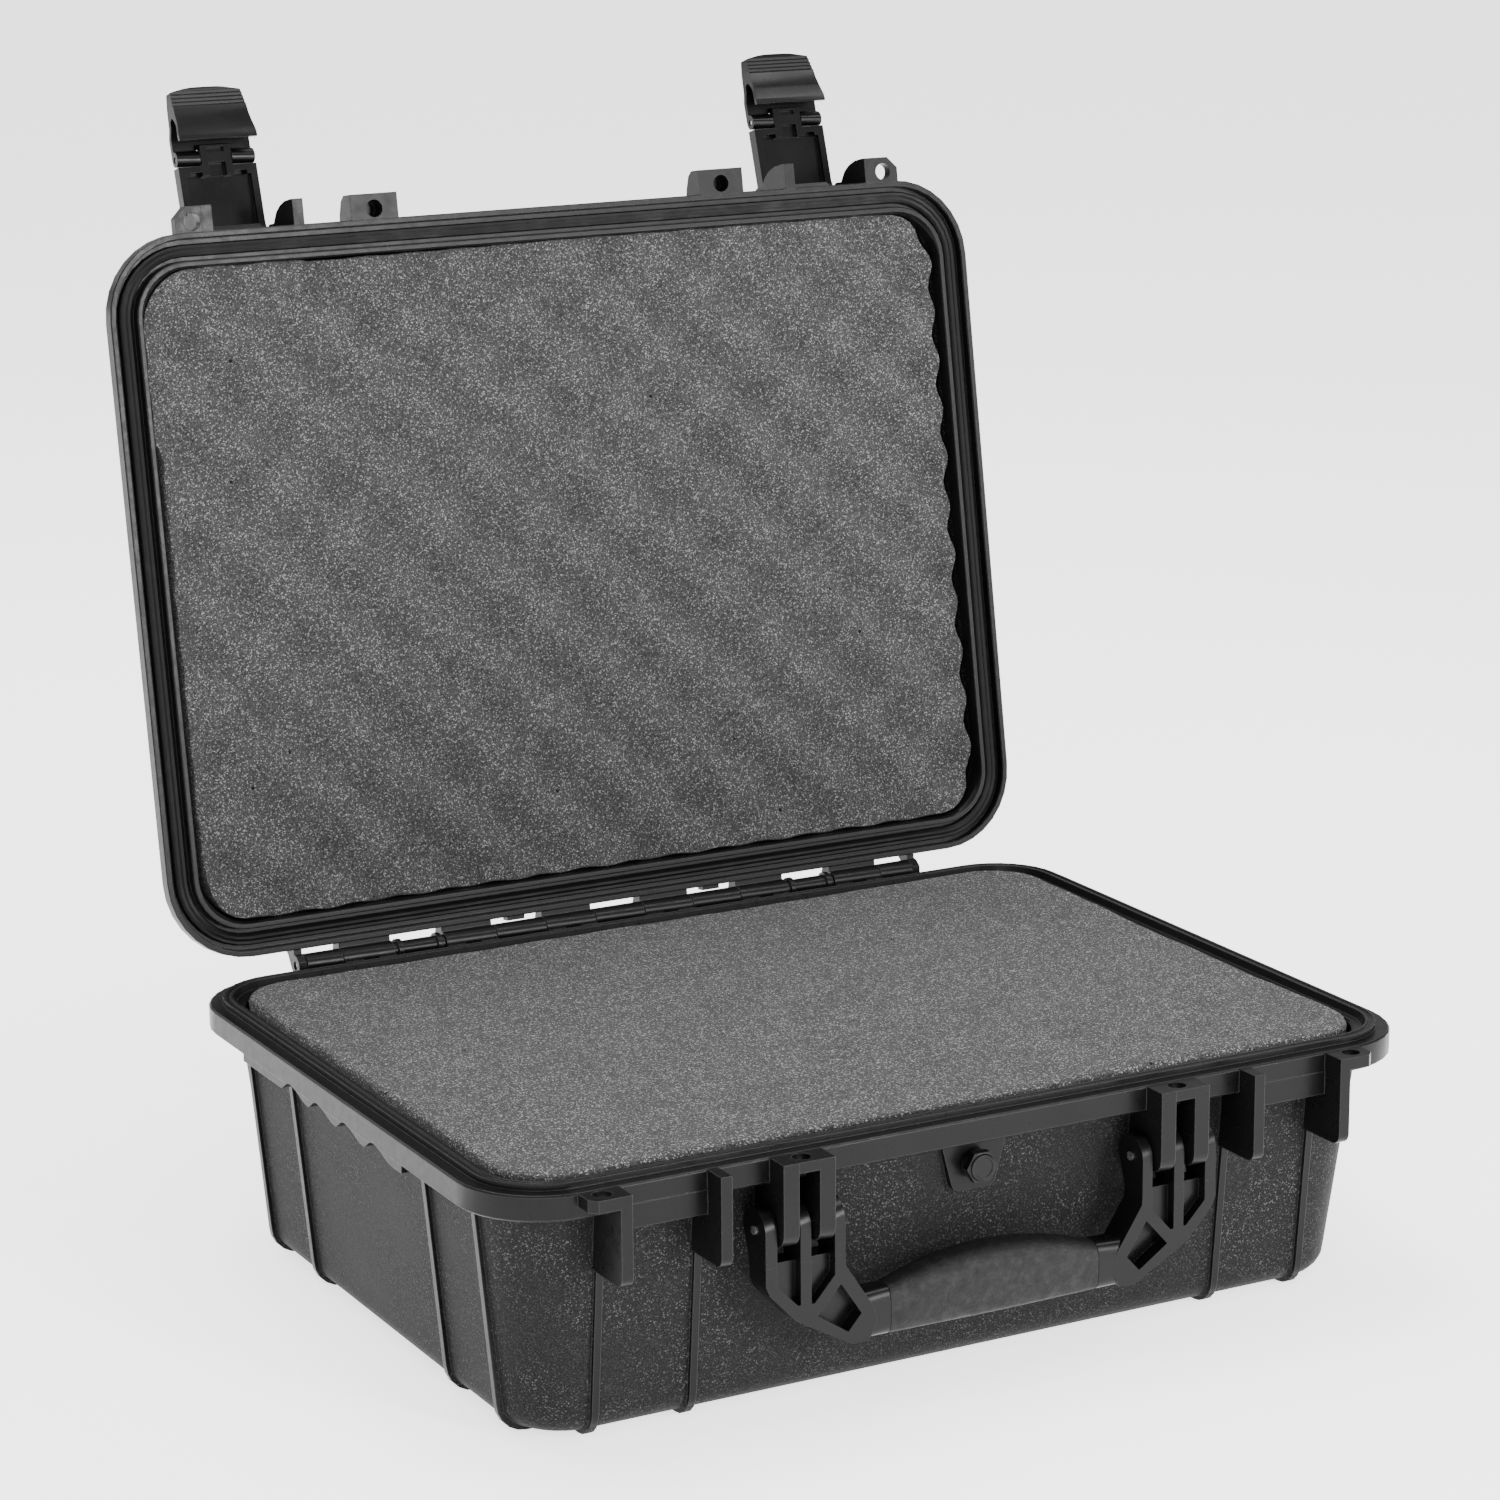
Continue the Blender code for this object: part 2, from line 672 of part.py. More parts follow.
def lid_rings():
    band_z = MATING_Z + LID_BAND_H
    low = MATING_Z + GAP
    edge = 0.0005
    ceiling_z = MATING_Z + LID_H - LID_WALL_T
    inner_r = LID_ROUND_R - 0.0014
    round_z = ceiling_z - inner_r
    inner_in = OVERHANG + (round_z - band_z) * DRAFT + LID_WALL_T
    rings = []
    for inset, height in arc(0.0, 0.0, inner_r, 90.0, 0.0, 4):
        corner = WALL_CORNER_R - LID_WALL_T - (inner_r - inset)
        rings.append(rim_ring(inner_in + inner_r - inset, round_z + height, corner))
    rings.append(rim_ring(0.0164, MATING_Z + 0.0020, 0.0264))
    rings.append(rim_ring(0.0162, low + edge))
    rings.append(rim_ring(0.0157, low))
    rings.append(rim_ring(0.0140, low))
    rings.append(rim_ring(0.0135, low + edge))
    rings.append(rim_ring(0.0133, MATING_Z + CHANNEL_TOP))
    rings.append(rim_ring(0.0032, MATING_Z + CHANNEL_TOP))
    rings.append(rim_ring(0.0030, low + edge))
    rings.append(rim_ring(0.0025, low))
    rings.append(rim_ring(edge, low))
    rings.append(rim_ring(0.0, low + edge))
    rings.append(rim_ring(0.0, band_z - edge))
    rings.append(rim_ring(edge, band_z))
    profile = shell_profile(band_z, MATING_Z + LID_H, LID_ROUND_R, 0.0)
    rings.append(rim_ring(OVERHANG, band_z, WALL_CORNER_R))
    for inset, z in profile[1:-1]:
        rings.append(rim_ring(inset, z, WALL_CORNER_R - (inset - profile[1][0])))
    return rings


def lid_fin_section():
    """Side view of a latch fin on the lid: quarter oval, pivot, then the wall and the band."""
    points = [(0.1860, 0.0005), (0.1860, 0.0040)]
    for a, b in arc(0.0, 0.0, 1.0, 18.0, 72.0, 3):
        points.append((0.1735 + 0.0125 * a, 0.0040 + 0.0220 * b))
    points += [(0.1756, 0.0262), (0.1756, 0.0320), (0.1735, 0.0350), (0.1700, 0.0360)]
    points += [(0.1587, 0.0360), (0.1587, 0.0085), (0.1605, 0.0067), (0.1715, 0.0067), (0.1715, 0.0005)]
    return [(-y, MATING_Z + z) for y, z in points]


def lid_tab(side):
    outline = tab_outline(side, BAY_OUTER_X + 0.0004, TAB_OUTER_X, 0.1713, 0.0055)
    return prism("lid_tab", outline, "Z", MATING_Z + 0.0006, MATING_Z + 0.0060)


def lid_bracket_tab(side):
    low, high = side * BRACKET_X - 0.0124, side * BRACKET_X + 0.0124
    section = [(-0.1713, 0.0006), (-TAB_Y, 0.0006), (-TAB_Y, 0.0085), (-0.1835, 0.0120), (-0.1770, 0.0150)]
    section += [(-0.1590, 0.0190), (-0.1590, 0.0085), (-0.1605, 0.0067), (-0.1713, 0.0067)]
    return prism("lid_bracket_tab", [(y, MATING_Z + z) for y, z in section], "X", low, high)


def hinge_ear(side):
    """End plate of the lid's hinge, outside the base's last knuckle."""
    section = [(0.1715, 0.0010), (0.1715, 0.0067), (0.1605, 0.0067), (0.1587, 0.0085), (0.1587, 0.0200)]
    section += [(0.1650, 0.0185), (0.1715, 0.0145), (0.1765, 0.0090), (0.1835, 0.0058), (0.1865, 0.0020)]
    section += [(0.1865, -0.0012), (0.1835, -0.0040), (0.1795, -0.0042), (0.1765, -0.0012), (0.1760, 0.0010)]
    low, high = bay_span(side, HINGE_END + GAP, HINGE_END + GAP + EAR_T)
    return prism("hinge_ear", [(y, MATING_Z + z) for y, z in section], "X", low, high)


def lid_panel():
    """Raised border of a blank panel on the lid's top."""
    top = MATING_Z + LID_H
    outer = prism("panel", rounded_outline(0.095, 0.055, 0.010, 4), "Z", top - 0.0010, top + 0.0012)
    inner = prism("panel_recess", rounded_outline(0.091, 0.051, 0.007, 4), "Z", top + 0.0002, top + 0.0020)
    combine(outer, [inner], "DIFFERENCE")
    return outer


def lid_shell(mat):
    shell = loft("lid_shell", lid_rings(), mat)
    ribs = bmesh.new()
    profile = shell_profile(MATING_Z + LID_BAND_H, MATING_Z + LID_H, LID_ROUND_R, 0.0140)
    add_ribs(ribs, profile, 0.0015, 0.0018)
    combine(shell, [make_object("ribs", ribs)])
    fins = bmesh.new()
    for side in (-1, 1):
        add_bay_fins(fins, side, lid_fin_section())
    additions = [make_object("fins", fins), lid_panel(), window_tabs()]
    for side in (-1, 1):
        additions += [lid_tab(side), lid_bracket_tab(side), hinge_ear(side)]
    additions += hinge_barrels("lid")
    combine(shell, additions)
    bores = bmesh.new()
    for side in (-1, 1):
        low, high = bay_span(side, BAY_INNER_X - FIN_T - 0.001, BAY_OUTER_X + FIN_T + 0.001)
        add_prism(bores, circle(-LATCH_Y, LATCH_Z, LATCH_PIN_R + PIN_CLEARANCE, 16), "X", low, high)
    holes = padlock_drills(MATING_Z - 0.002, MATING_Z + 0.014, MATING_Z + 0.0095)
    cutters = [hinge_drill(), knuckle_notches(), holes, make_object("bores", bores)]
    combine(shell, cutters, "DIFFERENCE")
    smooth(shell)
    return shell


def lid_gasket(mat):
    """Ribbed sealing strip in the lid's channel."""
    back = MATING_Z + CHANNEL_TOP - GAP
    section = [(0.0054, back), (0.0054, MATING_Z + 0.0038)]
    for i in range(5):
        height = 0.0032 if i % 2 == 0 else 0.0038
        section.append((0.0060 + 0.0012 * i, MATING_Z + height))
    section += [(0.0114, MATING_Z + 0.0038), (0.0114, back)]
    rings = [rim_ring(inset, z) for inset, z in section]
    return loft("lid_gasket", rings, mat, loop=True)


# ------------------------------------------------------------------ hinge, pins

def rod(name, y, z, radius, low, high, mat, steps=16):
    pin = prism(name, circle(y, z, radius, steps), "X", low, high, mat)
    smooth(pin)
    return pin


def hinge_pin(mat):
    reach = HINGE_END + EAR_T - 0.0006
    return rod("hinge_pin", HINGE_Y, HINGE_Z, HINGE_PIN_R, -reach, reach, mat, 24)


# --------------------------------------------------------------------- latches

def latch_arm(name, x, mat):
    """Latch arm, closed: a hollow slab hanging from its pivot, with a slotted tongue."""
    outer_y = -(HALF_D + 0.0081)
    inner_y = -(HALF_D + 0.0016)
    floor_y = inner_y - 0.0030
    end_z = LEVER_Z + 0.0042
    section = [(outer_y + 0.0020, LATCH_Z + 0.0042), (outer_y, LATCH_Z + 0.0010)]
    section += [(outer_y, end_z), (inner_y, end_z), (inner_y, LATCH_Z - 0.0080)]
    section += arc(-LATCH_Y, LATCH_Z, 0.0042, 210.0, 450.0, 10)
    arm = prism(name, section, "X", x - ARM_HALF_W, x + ARM_HALF_W, mat)
    tongue = [(outer_y + 0.0003, end_z + 0.001), (outer_y + 0.0003, LEVER_Z)]
    tongue += arc(-LEVER_Y, LEVER_Z, 0.0034, 200.0, 262.0, 3)
    tongue += [(-LEVER_Y - 0.0004, LEVER_Z - 0.0060), (-LEVER_Y + 0.0010, LEVER_Z - 0.0068)]
    tongue += [(inner_y, LEVER_Z - 0.0060), (inner_y, end_z + 0.001)]
    combine(arm, [prism("tongue", tongue, "X", x - TONGUE_HALF_W, x + TONGUE_HALF_W)])
    hollow = bmesh.new()
    add_box(hollow, (x - ARM_HALF_W + 0.0034, x + ARM_HALF_W - 0.0034), (floor_y, inner_y + 0.01),
            (end_z + 0.0048, LATCH_Z - 0.0075))
    slot_x = (x - TONGUE_SLOT_HALF_W, x + TONGUE_SLOT_HALF_W)
    slots = bmesh.new()
    add_box(slots, slot_x, (floor_y + 0.00002, inner_y + 0.01), (LEVER_Z + 0.0026, end_z + 0.0055))
    add_box(slots, slot_x, (floor_y + 0.0010, inner_y + 0.01), (LEVER_Z - 0.0048, LEVER_Z - 0.0026))
    for side in (-1, 1):
        near = x + side * (TONGUE_HALF_W + 0.0005)
        far = x + side * (TONGUE_HALF_W + 0.0070)
        low, high = sorted((near, far))
        add_box(slots, (low, high), (floor_y - 0.0015, inner_y + 0.01), (end_z + 0.0030, end_z + 0.0052))
    bores = bmesh.new()
    low = x - ARM_HALF_W - 0.001
    high = x + ARM_HALF_W + 0.001
    add_prism(bores, circle(-LATCH_Y, LATCH_Z, LATCH_PIN_R + PIN_CLEARANCE, 16), "X", low, high)
    add_prism(bores, circle(-LEVER_Y, LEVER_Z, LEVER_PIN_R + PIN_CLEARANCE, 16), "X", low, high)
    cutters = [make_object("hollow", hollow), make_object("slots", slots), make_object("bores", bores)]
    combine(arm, cutters, "DIFFERENCE")
    smooth(arm)
    return arm


def lever_section():
    """Side view of the closed lever: outer plate, ridged tip and inner hook shell."""
    outer = ((-0.0037, -0.0020), (-0.0038, -0.0260), (-0.0034, -0.0320), (-0.0024, -0.0344), (-0.0008, -0.0355),
             (0.0008, -0.0350))
    points = list(outer)
    steps = 2 * LEVER_RIDGES
    for i in range(steps):
        share = i / steps
        proud = 0.0007 if i % 2 else 0.0
        points.append((0.0013 + 0.0035 * share + proud, -0.0338 + 0.0100 * share))
    points += [(0.0062, -0.0205), (0.0079, -0.0168), (0.0092, -0.0132), (0.0101, -0.0102), (0.0104, -0.0076)]
    points += [(0.0082, -0.0076), (0.0077, -0.0110), (0.0064, -0.0148), (0.0042, -0.0184), (0.0014, -0.0204)]
    points += [(-0.0008, -0.0192), (-0.0010, -0.0044), (0.0020, -0.0032)]
    points += arc(0.0, 0.0, 0.0036, -40.0, 180.0, 9)
    return [(-LEVER_Y + y, LEVER_Z + z) for y, z in points]


def lever_outline_cutters(x):
    """Cutters for the lever's narrower, arched tip: one below and one a side."""
    front = -LEVER_Y - 0.012
    back = -LEVER_Y + 0.020
    arch_r = 0.0620
    arch = arc(x, LEVER_TIP_Z + arch_r, arch_r, 290.0, 250.0, 8)
    arch += [(x - 0.030, LEVER_TIP_Z - 0.010), (x + 0.030, LEVER_TIP_Z - 0.010)]
    cutters = [prism("tip_cutter", arch, "Y", front, back)]
    edge = ((0.0160, -0.0370), (0.0183, -0.0322), (0.0188, -0.0260), (0.0192, -0.0160), (0.0202, -0.0100),
            (0.0240, -0.0100), (0.0240, -0.0370))
    for side in (-1, 1):
        points = [(x + side * a, LEVER_Z + z) for a, z in edge]
        cutters.append(prism("edge_cutter", points, "Y", front, back))
    return cutters


def latch_lever(name, x, mat):
    lever = prism(name, lever_section(), "X", x - LEVER_HALF_W, x + LEVER_HALF_W, mat)
    combine(lever, lever_outline_cutters(x), "DIFFERENCE")
    cut = bmesh.new()
    half = TONGUE_HALF_W + 0.0004
    add_box(cut, (x - half, x + half), (-LEVER_Y - 0.010, -LEVER_Y + 0.006), (LEVER_Z - 0.0046, LEVER_Z + 0.006))
    bore = circle(-LEVER_Y, LEVER_Z, LEVER_PIN_R + PIN_CLEARANCE, 16)
    drill = prism("drill", bore, "X", x - LEVER_HALF_W - 0.001, x + LEVER_HALF_W + 0.001)
    combine(lever, [make_object("cut", cut), drill], "DIFFERENCE")
    smooth(lever)
    return lever


# ---------------------------------------------------------------------- handle

def superellipse(half_a, half_b, steps=20, power=0.6):
    """Points round a softened rectangle; a low power is squarer."""
    points = []
    for i in range(steps):
        angle = 2 * math.pi * (i + 0.5) / steps
        c = math.cos(angle)
        s = math.sin(angle)
        a = math.copysign(abs(c) ** power, c) * half_a
        b = math.copysign(abs(s) ** power, s) * half_b
        points.append((a, b))
    return points


def handle_arm_blank(side):
    """Front view of an arm's truss, as (x, z), to the collar."""
    outline = ((0.0757, 0.0465), (0.1145, 0.0465), (0.1145, 0.0545), (0.1126, 0.0590), (0.0997, 0.0727),
               (0.0720, 0.0883), (0.0640, 0.0880), (0.0600, 0.0800), (0.0613, 0.0737), (0.0754, 0.0520))
    points = [(side * x, MATING_Z - z) for x, z in outline]
    return prism("arm_blank", points, "Y", -HANDLE_FRONT_Y, -HANDLE_BACK_Y)


def prong_section():
    """Side view of a prong, as (y, z): round over the pin, tapering to the truss."""
    points = arc(-HANDLE_PIN_Y, HANDLE_PIN_Z, PRONG_R, 180.0, 0.0, 10)
    points += [(-HANDLE_BACK_Y, MATING_Z - 0.0470), (-HANDLE_BACK_Y - 0.0002, MATING_Z - 0.0510)]
    points += [(-HANDLE_FRONT_Y + 0.0001, MATING_Z - 0.0510)]
    return points


def arm_pockets(side):
    """Cutters for the pockets between an arm's ribs."""
    shallow = -(HANDLE_FRONT_Y - 0.0050)
    deep = -(HANDLE_FRONT_Y - 0.0070)
    outer = ((0.1089, 0.0430), (0.1089, 0.0553), (0.0990, 0.0656), (0.0976, 0.0656), (0.0976, 0.0430))
    middle = ((0.0924, 0.0430), (0.0924, 0.0660), (0.0908, 0.0660), (0.0808, 0.0548), (0.0808, 0.0430))
    kite = ((0.0779, 0.0596), (0.0892, 0.0722), (0.0744, 0.0822), (0.0678, 0.0748))
    bm = bmesh.new()
    for pocket, floor_y in ((outer, shallow), (middle, shallow), (kite, deep)):
        points = [(side * x, MATING_Z - z) for x, z in pocket]
        add_prism(bm, points, "Y", -HANDLE_FRONT_Y - 0.001, floor_y)
    return make_object("pockets", bm)


def bar_rings(xs, half_depth, half_h):
    rings = []
    for x in xs:
        section = superellipse(half_depth, half_h)
        rings.append([(x, -GRIP_Y + a, GRIP_Z + b) for a, b in section])
    return rings


def handle_frame(mat):
    frame = loft("handle_frame", bar_rings((-0.0600, 0.0600), 0.0050, 0.0062), mat)
    pieces = []
    for side in (-1, 1):
        spans = sorted((side * (GRIP_HALF_L + GAP), side * 0.0680))
        pieces.append(loft("collar", bar_rings(spans, COLLAR_HALF_DEPTH, COLLAR_HALF_H)))
        pieces.append(handle_arm_blank(side))
        prongs = bmesh.new()
        for near, far in PRONGS:
            low, high = bay_span(side, near, far)
            add_prism(prongs, prong_section(), "X", low, high)
        pieces.append(make_object("prongs", prongs))
    combine(frame, pieces)
    cutters = []
    for side in (-1, 1):
        cutters.append(arm_pockets(side))
        hole = circle(-HANDLE_PIN_Y, HANDLE_PIN_Z, HANDLE_PIN_R + PIN_CLEARANCE, 16)
        low, high = bay_span(side, 0.070, 0.120)
        cutters.append(prism("bore", hole, "X", low, high))
    combine(frame, cutters, "DIFFERENCE")
    smooth(frame)
    return frame


def handle_grip(mat):
    """Soft sleeve over the handle's bar, arched towards the hand."""
    rings = []
    steps = 10
    for i in range(steps + 1):
        x = GRIP_HALF_L * (2 * i / steps - 1)
        swell = 1 - (x / GRIP_HALF_L) ** 2
        half_h = COLLAR_HALF_H + GRIP_ARCH * swell / 2
        middle_z = GRIP_Z + GRIP_ARCH * swell / 2
        section = superellipse(COLLAR_HALF_DEPTH + GRIP_BULGE * swell, half_h)
        rings.append([(x, -GRIP_Y + a, middle_z + b) for a, b in section])
    rings += bar_rings((GRIP_HALF_L, -GRIP_HALF_L), 0.0053, 0.0065)
    grip = loft("handle_grip", rings, mat, loop=True)
    smooth(grip)
    return grip


# ---------------------------------------------------------------- purge valve

def turned_rings(profile, hexagon=()):
    """Rings about the valve's axis from (radius, y) pairs; those listed are six-sided."""
    sides = 24
    rings = []
    for index, (radius, y) in enumerate(profile):
        ring = []
        for i in range(sides):
            angle = 2 * math.pi * i / sides
            reach = radius
            if index in hexagon:
                reach = radius / math.cos((angle % (math.pi / 3)) - math.pi / 6)
            ring.append((reach * math.cos(angle), y, VALVE_Z + reach * math.sin(angle)))
        rings.append(ring)
    return rings


def valve_body(mat, front):
    profile = [(VALVE_STEM_R, -0.1505), (VALVE_STEM_R, front - 0.0021), (0.0070, front - 0.0021)]
    profile += [(0.0070, front - 0.0034), (0.0026, front - 0.0034), (0.0026, front - 0.0058)]
    body = loft("valve_body", turned_rings(profile), mat)
    smooth(body)


def valve_cap(mat, front):
    profile = [(0.0068, front - 0.0037), (0.0068, front - 0.0072), (0.0062, front - 0.0074)]
    profile += [(0.0058, front - 0.0082), (0.0048, front - 0.0082), (0.0046, front - 0.0078)]
    profile += [(0.0010, front - 0.0078)]
    cap = loft("valve_cap", turned_rings(profile, (0, 1)), mat)
    bore = loft("bore", turned_rings([(0.0029, front - 0.0061), (0.0029, front - 0.0017)]))
    combine(cap, [bore], "DIFFERENCE")
    smooth(cap)


def valve_o_ring(mat, front):
    profile = []
    for a, b in circle(0.0, 0.0, 1.0, 8):
        profile.append((0.0060 + 0.0009 * a, front - 0.0012 + 0.0008 * b))
    seal = loft("valve_o_ring", turned_rings(profile), mat, loop=True)
    smooth(seal)


def valve_nut(mat):
    near = GAP - VALVE_SEAT_Y
    far = near + 0.0036
    inner_r = VALVE_STEM_R + 0.0001
    profile = [(inner_r, near), (0.0080, near), (0.0080, far), (inner_r, far)]
    nut = loft("valve_nut", turned_rings(profile, (1, 2)), mat, loop=True)
    smooth(nut)


# ----------------------------------------------------------------------- build

def build():
    clear_scene()
    shell_mat = make_material("black_polypropylene", (0.020, 0.020, 0.021), 0.55)
    latch_mat = make_material("black_abs", (0.016, 0.016, 0.017), 0.45)
    rubber_mat = make_material("soft_rubber", (0.018, 0.018, 0.018), 0.80)
    seal_mat = make_material("seal_rubber", (0.012, 0.012, 0.012), 0.60)
    foam_mat = make_material("grey_foam", (0.110, 0.110, 0.112), 0.95)
    steel_mat = make_material("stainless_steel", (0.62, 0.62, 0.60), 0.30, 1.0)

    base_shell(shell_mat)
    base_foam(foam_mat)
    valve_body(shell_mat, -VALVE_PAD_Y)
    valve_cap(latch_mat, -VALVE_PAD_Y)
    valve_o_ring(seal_mat, -VALVE_PAD_Y)
    valve_nut(shell_mat)
    hinge_pin(steel_mat)

    lid_axis = make_empty("lid_axis", (0.0, HINGE_Y, HINGE_Z))
    latch_axes = []
    hang_on(lid_axis, [lid_shell(shell_mat), lid_gasket(seal_mat), lid_foam(foam_mat)])
    for label, side in (("left", -1), ("right", 1)):
        x = side * BAY_X
        reach = (BAY_OUTER_X - BAY_INNER_X) / 2 + FIN_T - 0.0005
        pin = rod("latch_pin_" + label, -LATCH_Y, LATCH_Z, LATCH_PIN_R, x - reach, x + reach, steel_mat)
        hang_on(lid_axis, [pin])
        latch_axis = make_empty("latch_axis_" + label, (x, -LATCH_Y, LATCH_Z), lid_axis)
        latch_axes.append(latch_axis)
        arm = latch_arm("latch_arm_" + label, x, latch_mat)
        reach = LEVER_HALF_W - 0.0006
        lever_pin = rod("latch_lever_pin_" + label, -LEVER_Y, LEVER_Z, LEVER_PIN_R, x - reach, x + reach, steel_mat)
        hang_on(latch_axis, [arm, lever_pin])
        lever_axis = make_empty("lever_axis_" + label, (x, -LEVER_Y, LEVER_Z), latch_axis)
        hang_on(lever_axis, [latch_lever("latch_lever_" + label, x, latch_mat)])

    handle_axis = make_empty("handle_axis", (0.0, -HANDLE_PIN_Y, HANDLE_PIN_Z))
    hang_on(handle_axis, [handle_frame(latch_mat), handle_grip(rubber_mat)])
    for label, side in (("left", -1), ("right", 1)):
        low, high = bay_span(side, 0.0750, 0.1152)
        rod("handle_pin_" + label, -HANDLE_PIN_Y, HANDLE_PIN_Z, HANDLE_PIN_R, low, high, steel_mat)

    lid_axis.rotation_euler.x = -LID_OPEN
    for latch_axis in latch_axes:
        latch_axis.rotation_euler.x = -LATCH_OPEN


build()
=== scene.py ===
import json
import math

import bmesh
import bpy
import numpy as np
from mathutils import Matrix, Vector


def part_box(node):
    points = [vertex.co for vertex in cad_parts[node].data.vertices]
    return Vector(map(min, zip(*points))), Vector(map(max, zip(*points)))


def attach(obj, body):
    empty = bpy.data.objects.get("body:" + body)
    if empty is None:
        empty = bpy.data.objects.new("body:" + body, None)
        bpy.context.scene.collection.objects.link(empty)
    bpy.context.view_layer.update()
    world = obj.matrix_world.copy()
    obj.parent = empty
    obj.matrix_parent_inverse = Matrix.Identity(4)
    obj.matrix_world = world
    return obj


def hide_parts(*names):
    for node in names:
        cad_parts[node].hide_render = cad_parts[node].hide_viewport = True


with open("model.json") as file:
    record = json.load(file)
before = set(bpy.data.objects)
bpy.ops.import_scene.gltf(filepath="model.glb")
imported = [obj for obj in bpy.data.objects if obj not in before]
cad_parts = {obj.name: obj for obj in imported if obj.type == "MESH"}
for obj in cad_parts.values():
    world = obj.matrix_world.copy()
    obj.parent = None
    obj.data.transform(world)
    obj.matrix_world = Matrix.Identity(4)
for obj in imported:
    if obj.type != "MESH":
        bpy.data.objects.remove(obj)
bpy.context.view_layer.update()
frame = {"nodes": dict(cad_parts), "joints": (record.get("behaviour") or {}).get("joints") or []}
NODES = frame["nodes"]

# -------------------------------------------------- sizes and places, in metres

# Half the rims' width, and half their depth without the hardware on them.
RIM_WIDTH = 0.470
RIM_DEPTH = 0.3473
HALF_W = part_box("base_shell")[1].x
HALF_D = HALF_W * RIM_DEPTH / RIM_WIDTH

# The base foam stands a little above the plane where lid and base meet.
FOAM_PROUD = 0.0028
MATING_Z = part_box("base_foam_top")[1].z - FOAM_PROUD

LID_JOINT = [joint for joint in frame["joints"] if joint["name"] == "lid_hinge"][0]
LID_AXIS = Vector(LID_JOINT["pos_m"])
LID_TURN = math.radians(LID_JOINT["range_deg"][1])

# Turns a point of the closed lid to where the lid that stands open has it.
FROM_AXIS = Matrix.Translation(LID_AXIS)
TO_AXIS = Matrix.Translation(-LID_AXIS)
LID_OPEN = FROM_AXIS @ Matrix.Rotation(-LID_TURN, 4, "X") @ TO_AXIS

# Camera: the angles of the view and how far it stands from what it looks at.
VIEW_AZ = math.radians(-28.494)
VIEW_EL = math.radians(14.165)
VIEW_ROLL = math.radians(-0.419)
VIEW_TARGET = Vector((-0.0987, -0.1422, MATING_Z + 0.1694))
VIEW_DISTANCE = 1.852
LENS_MM = 105.886

# Shells: where the drafted, textured walls start, in from the rims and along z,
# and how far past that line a point has to be to count as wall.
DRAFT = math.tan(math.radians(5.5))
WALL_IN = 0.0124
BASE_BAND_Z = MATING_Z - 0.0116
LID_BAND_Z = MATING_Z + 0.0078
PAST_BAND = 0.0002

# Packed faces share no vertices; points closer than this are one point.
WELD = 0.000004

# CAD edges that bend less than SMOOTH_ANGLE are shaded smooth. Where a node has
# a width here, its edges that bend more than ROUNDED_ANGLE are rounded by it.
SMOOTH_ANGLE = math.radians(32.0)
ROUNDED_ANGLE = math.radians(38.0)
EDGE_WIDTHS = {
    "handle_frame": 0.0005,
    "latch_arm_left": 0.0004,
    "latch_arm_right": 0.0004,
    "latch_lever_left": 0.00025,
    "latch_lever_right": 0.00025,
    "valve_cap": 0.00025,
}

# Both foams. A ripple is a list of waves: length, direction, phase and height.
# A side is where it starts to move, and over what run, in shares of a half size.
FOAM_GRID = 0.0042
BASE_RIPPLE = ((0.210, 0.4, 0.3, 0.0003), (0.094, 1.9, 1.1, 0.0002), (0.041, 2.6, 0.2, 0.00012))
LID_RIPPLE = ((0.170, 0.7, 0.3, 0.0005), (0.061, 2.1, 1.1, 0.0004))
BASE_SIDE_X = (0.80, 0.11)
BASE_SIDE_Y = (0.80, 0.10)
LID_SIDE_X = (0.875, 0.045)
LID_SIDE_Y = (0.830, 0.060)

# Base foam: how far down its sides give way and its face is uneven, how far its
# right side bows in, the waves of its cut sides, and the swell of its top edges.
GIVE_DEPTH = 0.030
FACE_DEPTH = 0.002
RIGHT_BOW = 0.0022
CUT_WAVE = 0.0002
CUT_LENGTH_ALONG_X = 0.043
CUT_LENGTH_ALONG_Y = 0.037
EDGE_SWELL = 0.0026

# Lid foam: its egg-crate crests and the share of its depth that they reach into,
# how far they scallop each edge, and where and how far the cut edge steps in.
CREST_PITCH = 0.0505
CREST_DEPTH = 0.0060
CREST_REACH = 0.55
CREST_ANGLE = math.radians(50.0)
SCALLOP_SHIFT = 0.004
RIGHT_GAP = 0.0010
RIGHT_SCALLOP = 0.0036
LEFT_SCALLOP = 0.0005
LEFT_JOG = 0.0030
LEFT_JOG_Y = -0.073
FRONT_JOG = 0.0014
FRONT_JOG_X = -0.134
FRONT_JOG_RUN = 0.0015
FRONT_JOG_FADE = 0.16
FRONT_SCALLOP = 0.0004
FRONT_OVERHANG = 0.0008
BACK_SCALLOP = 0.0010

# Surface textures, in features to the metre.
FLOW_SCALE = 38.0
SCUFF_SCALE = 1800.0
SHELL_FLOW_SCALE = 30.0
STREAK_SCALE = 210.0
EROSION_SCALE = 1500.0
GLINT_SCALE = 2000.0
CELL_SCALE = 1900.0
CLOUD_SCALE = 60.0
PINHOLE_SCALE = 34.0

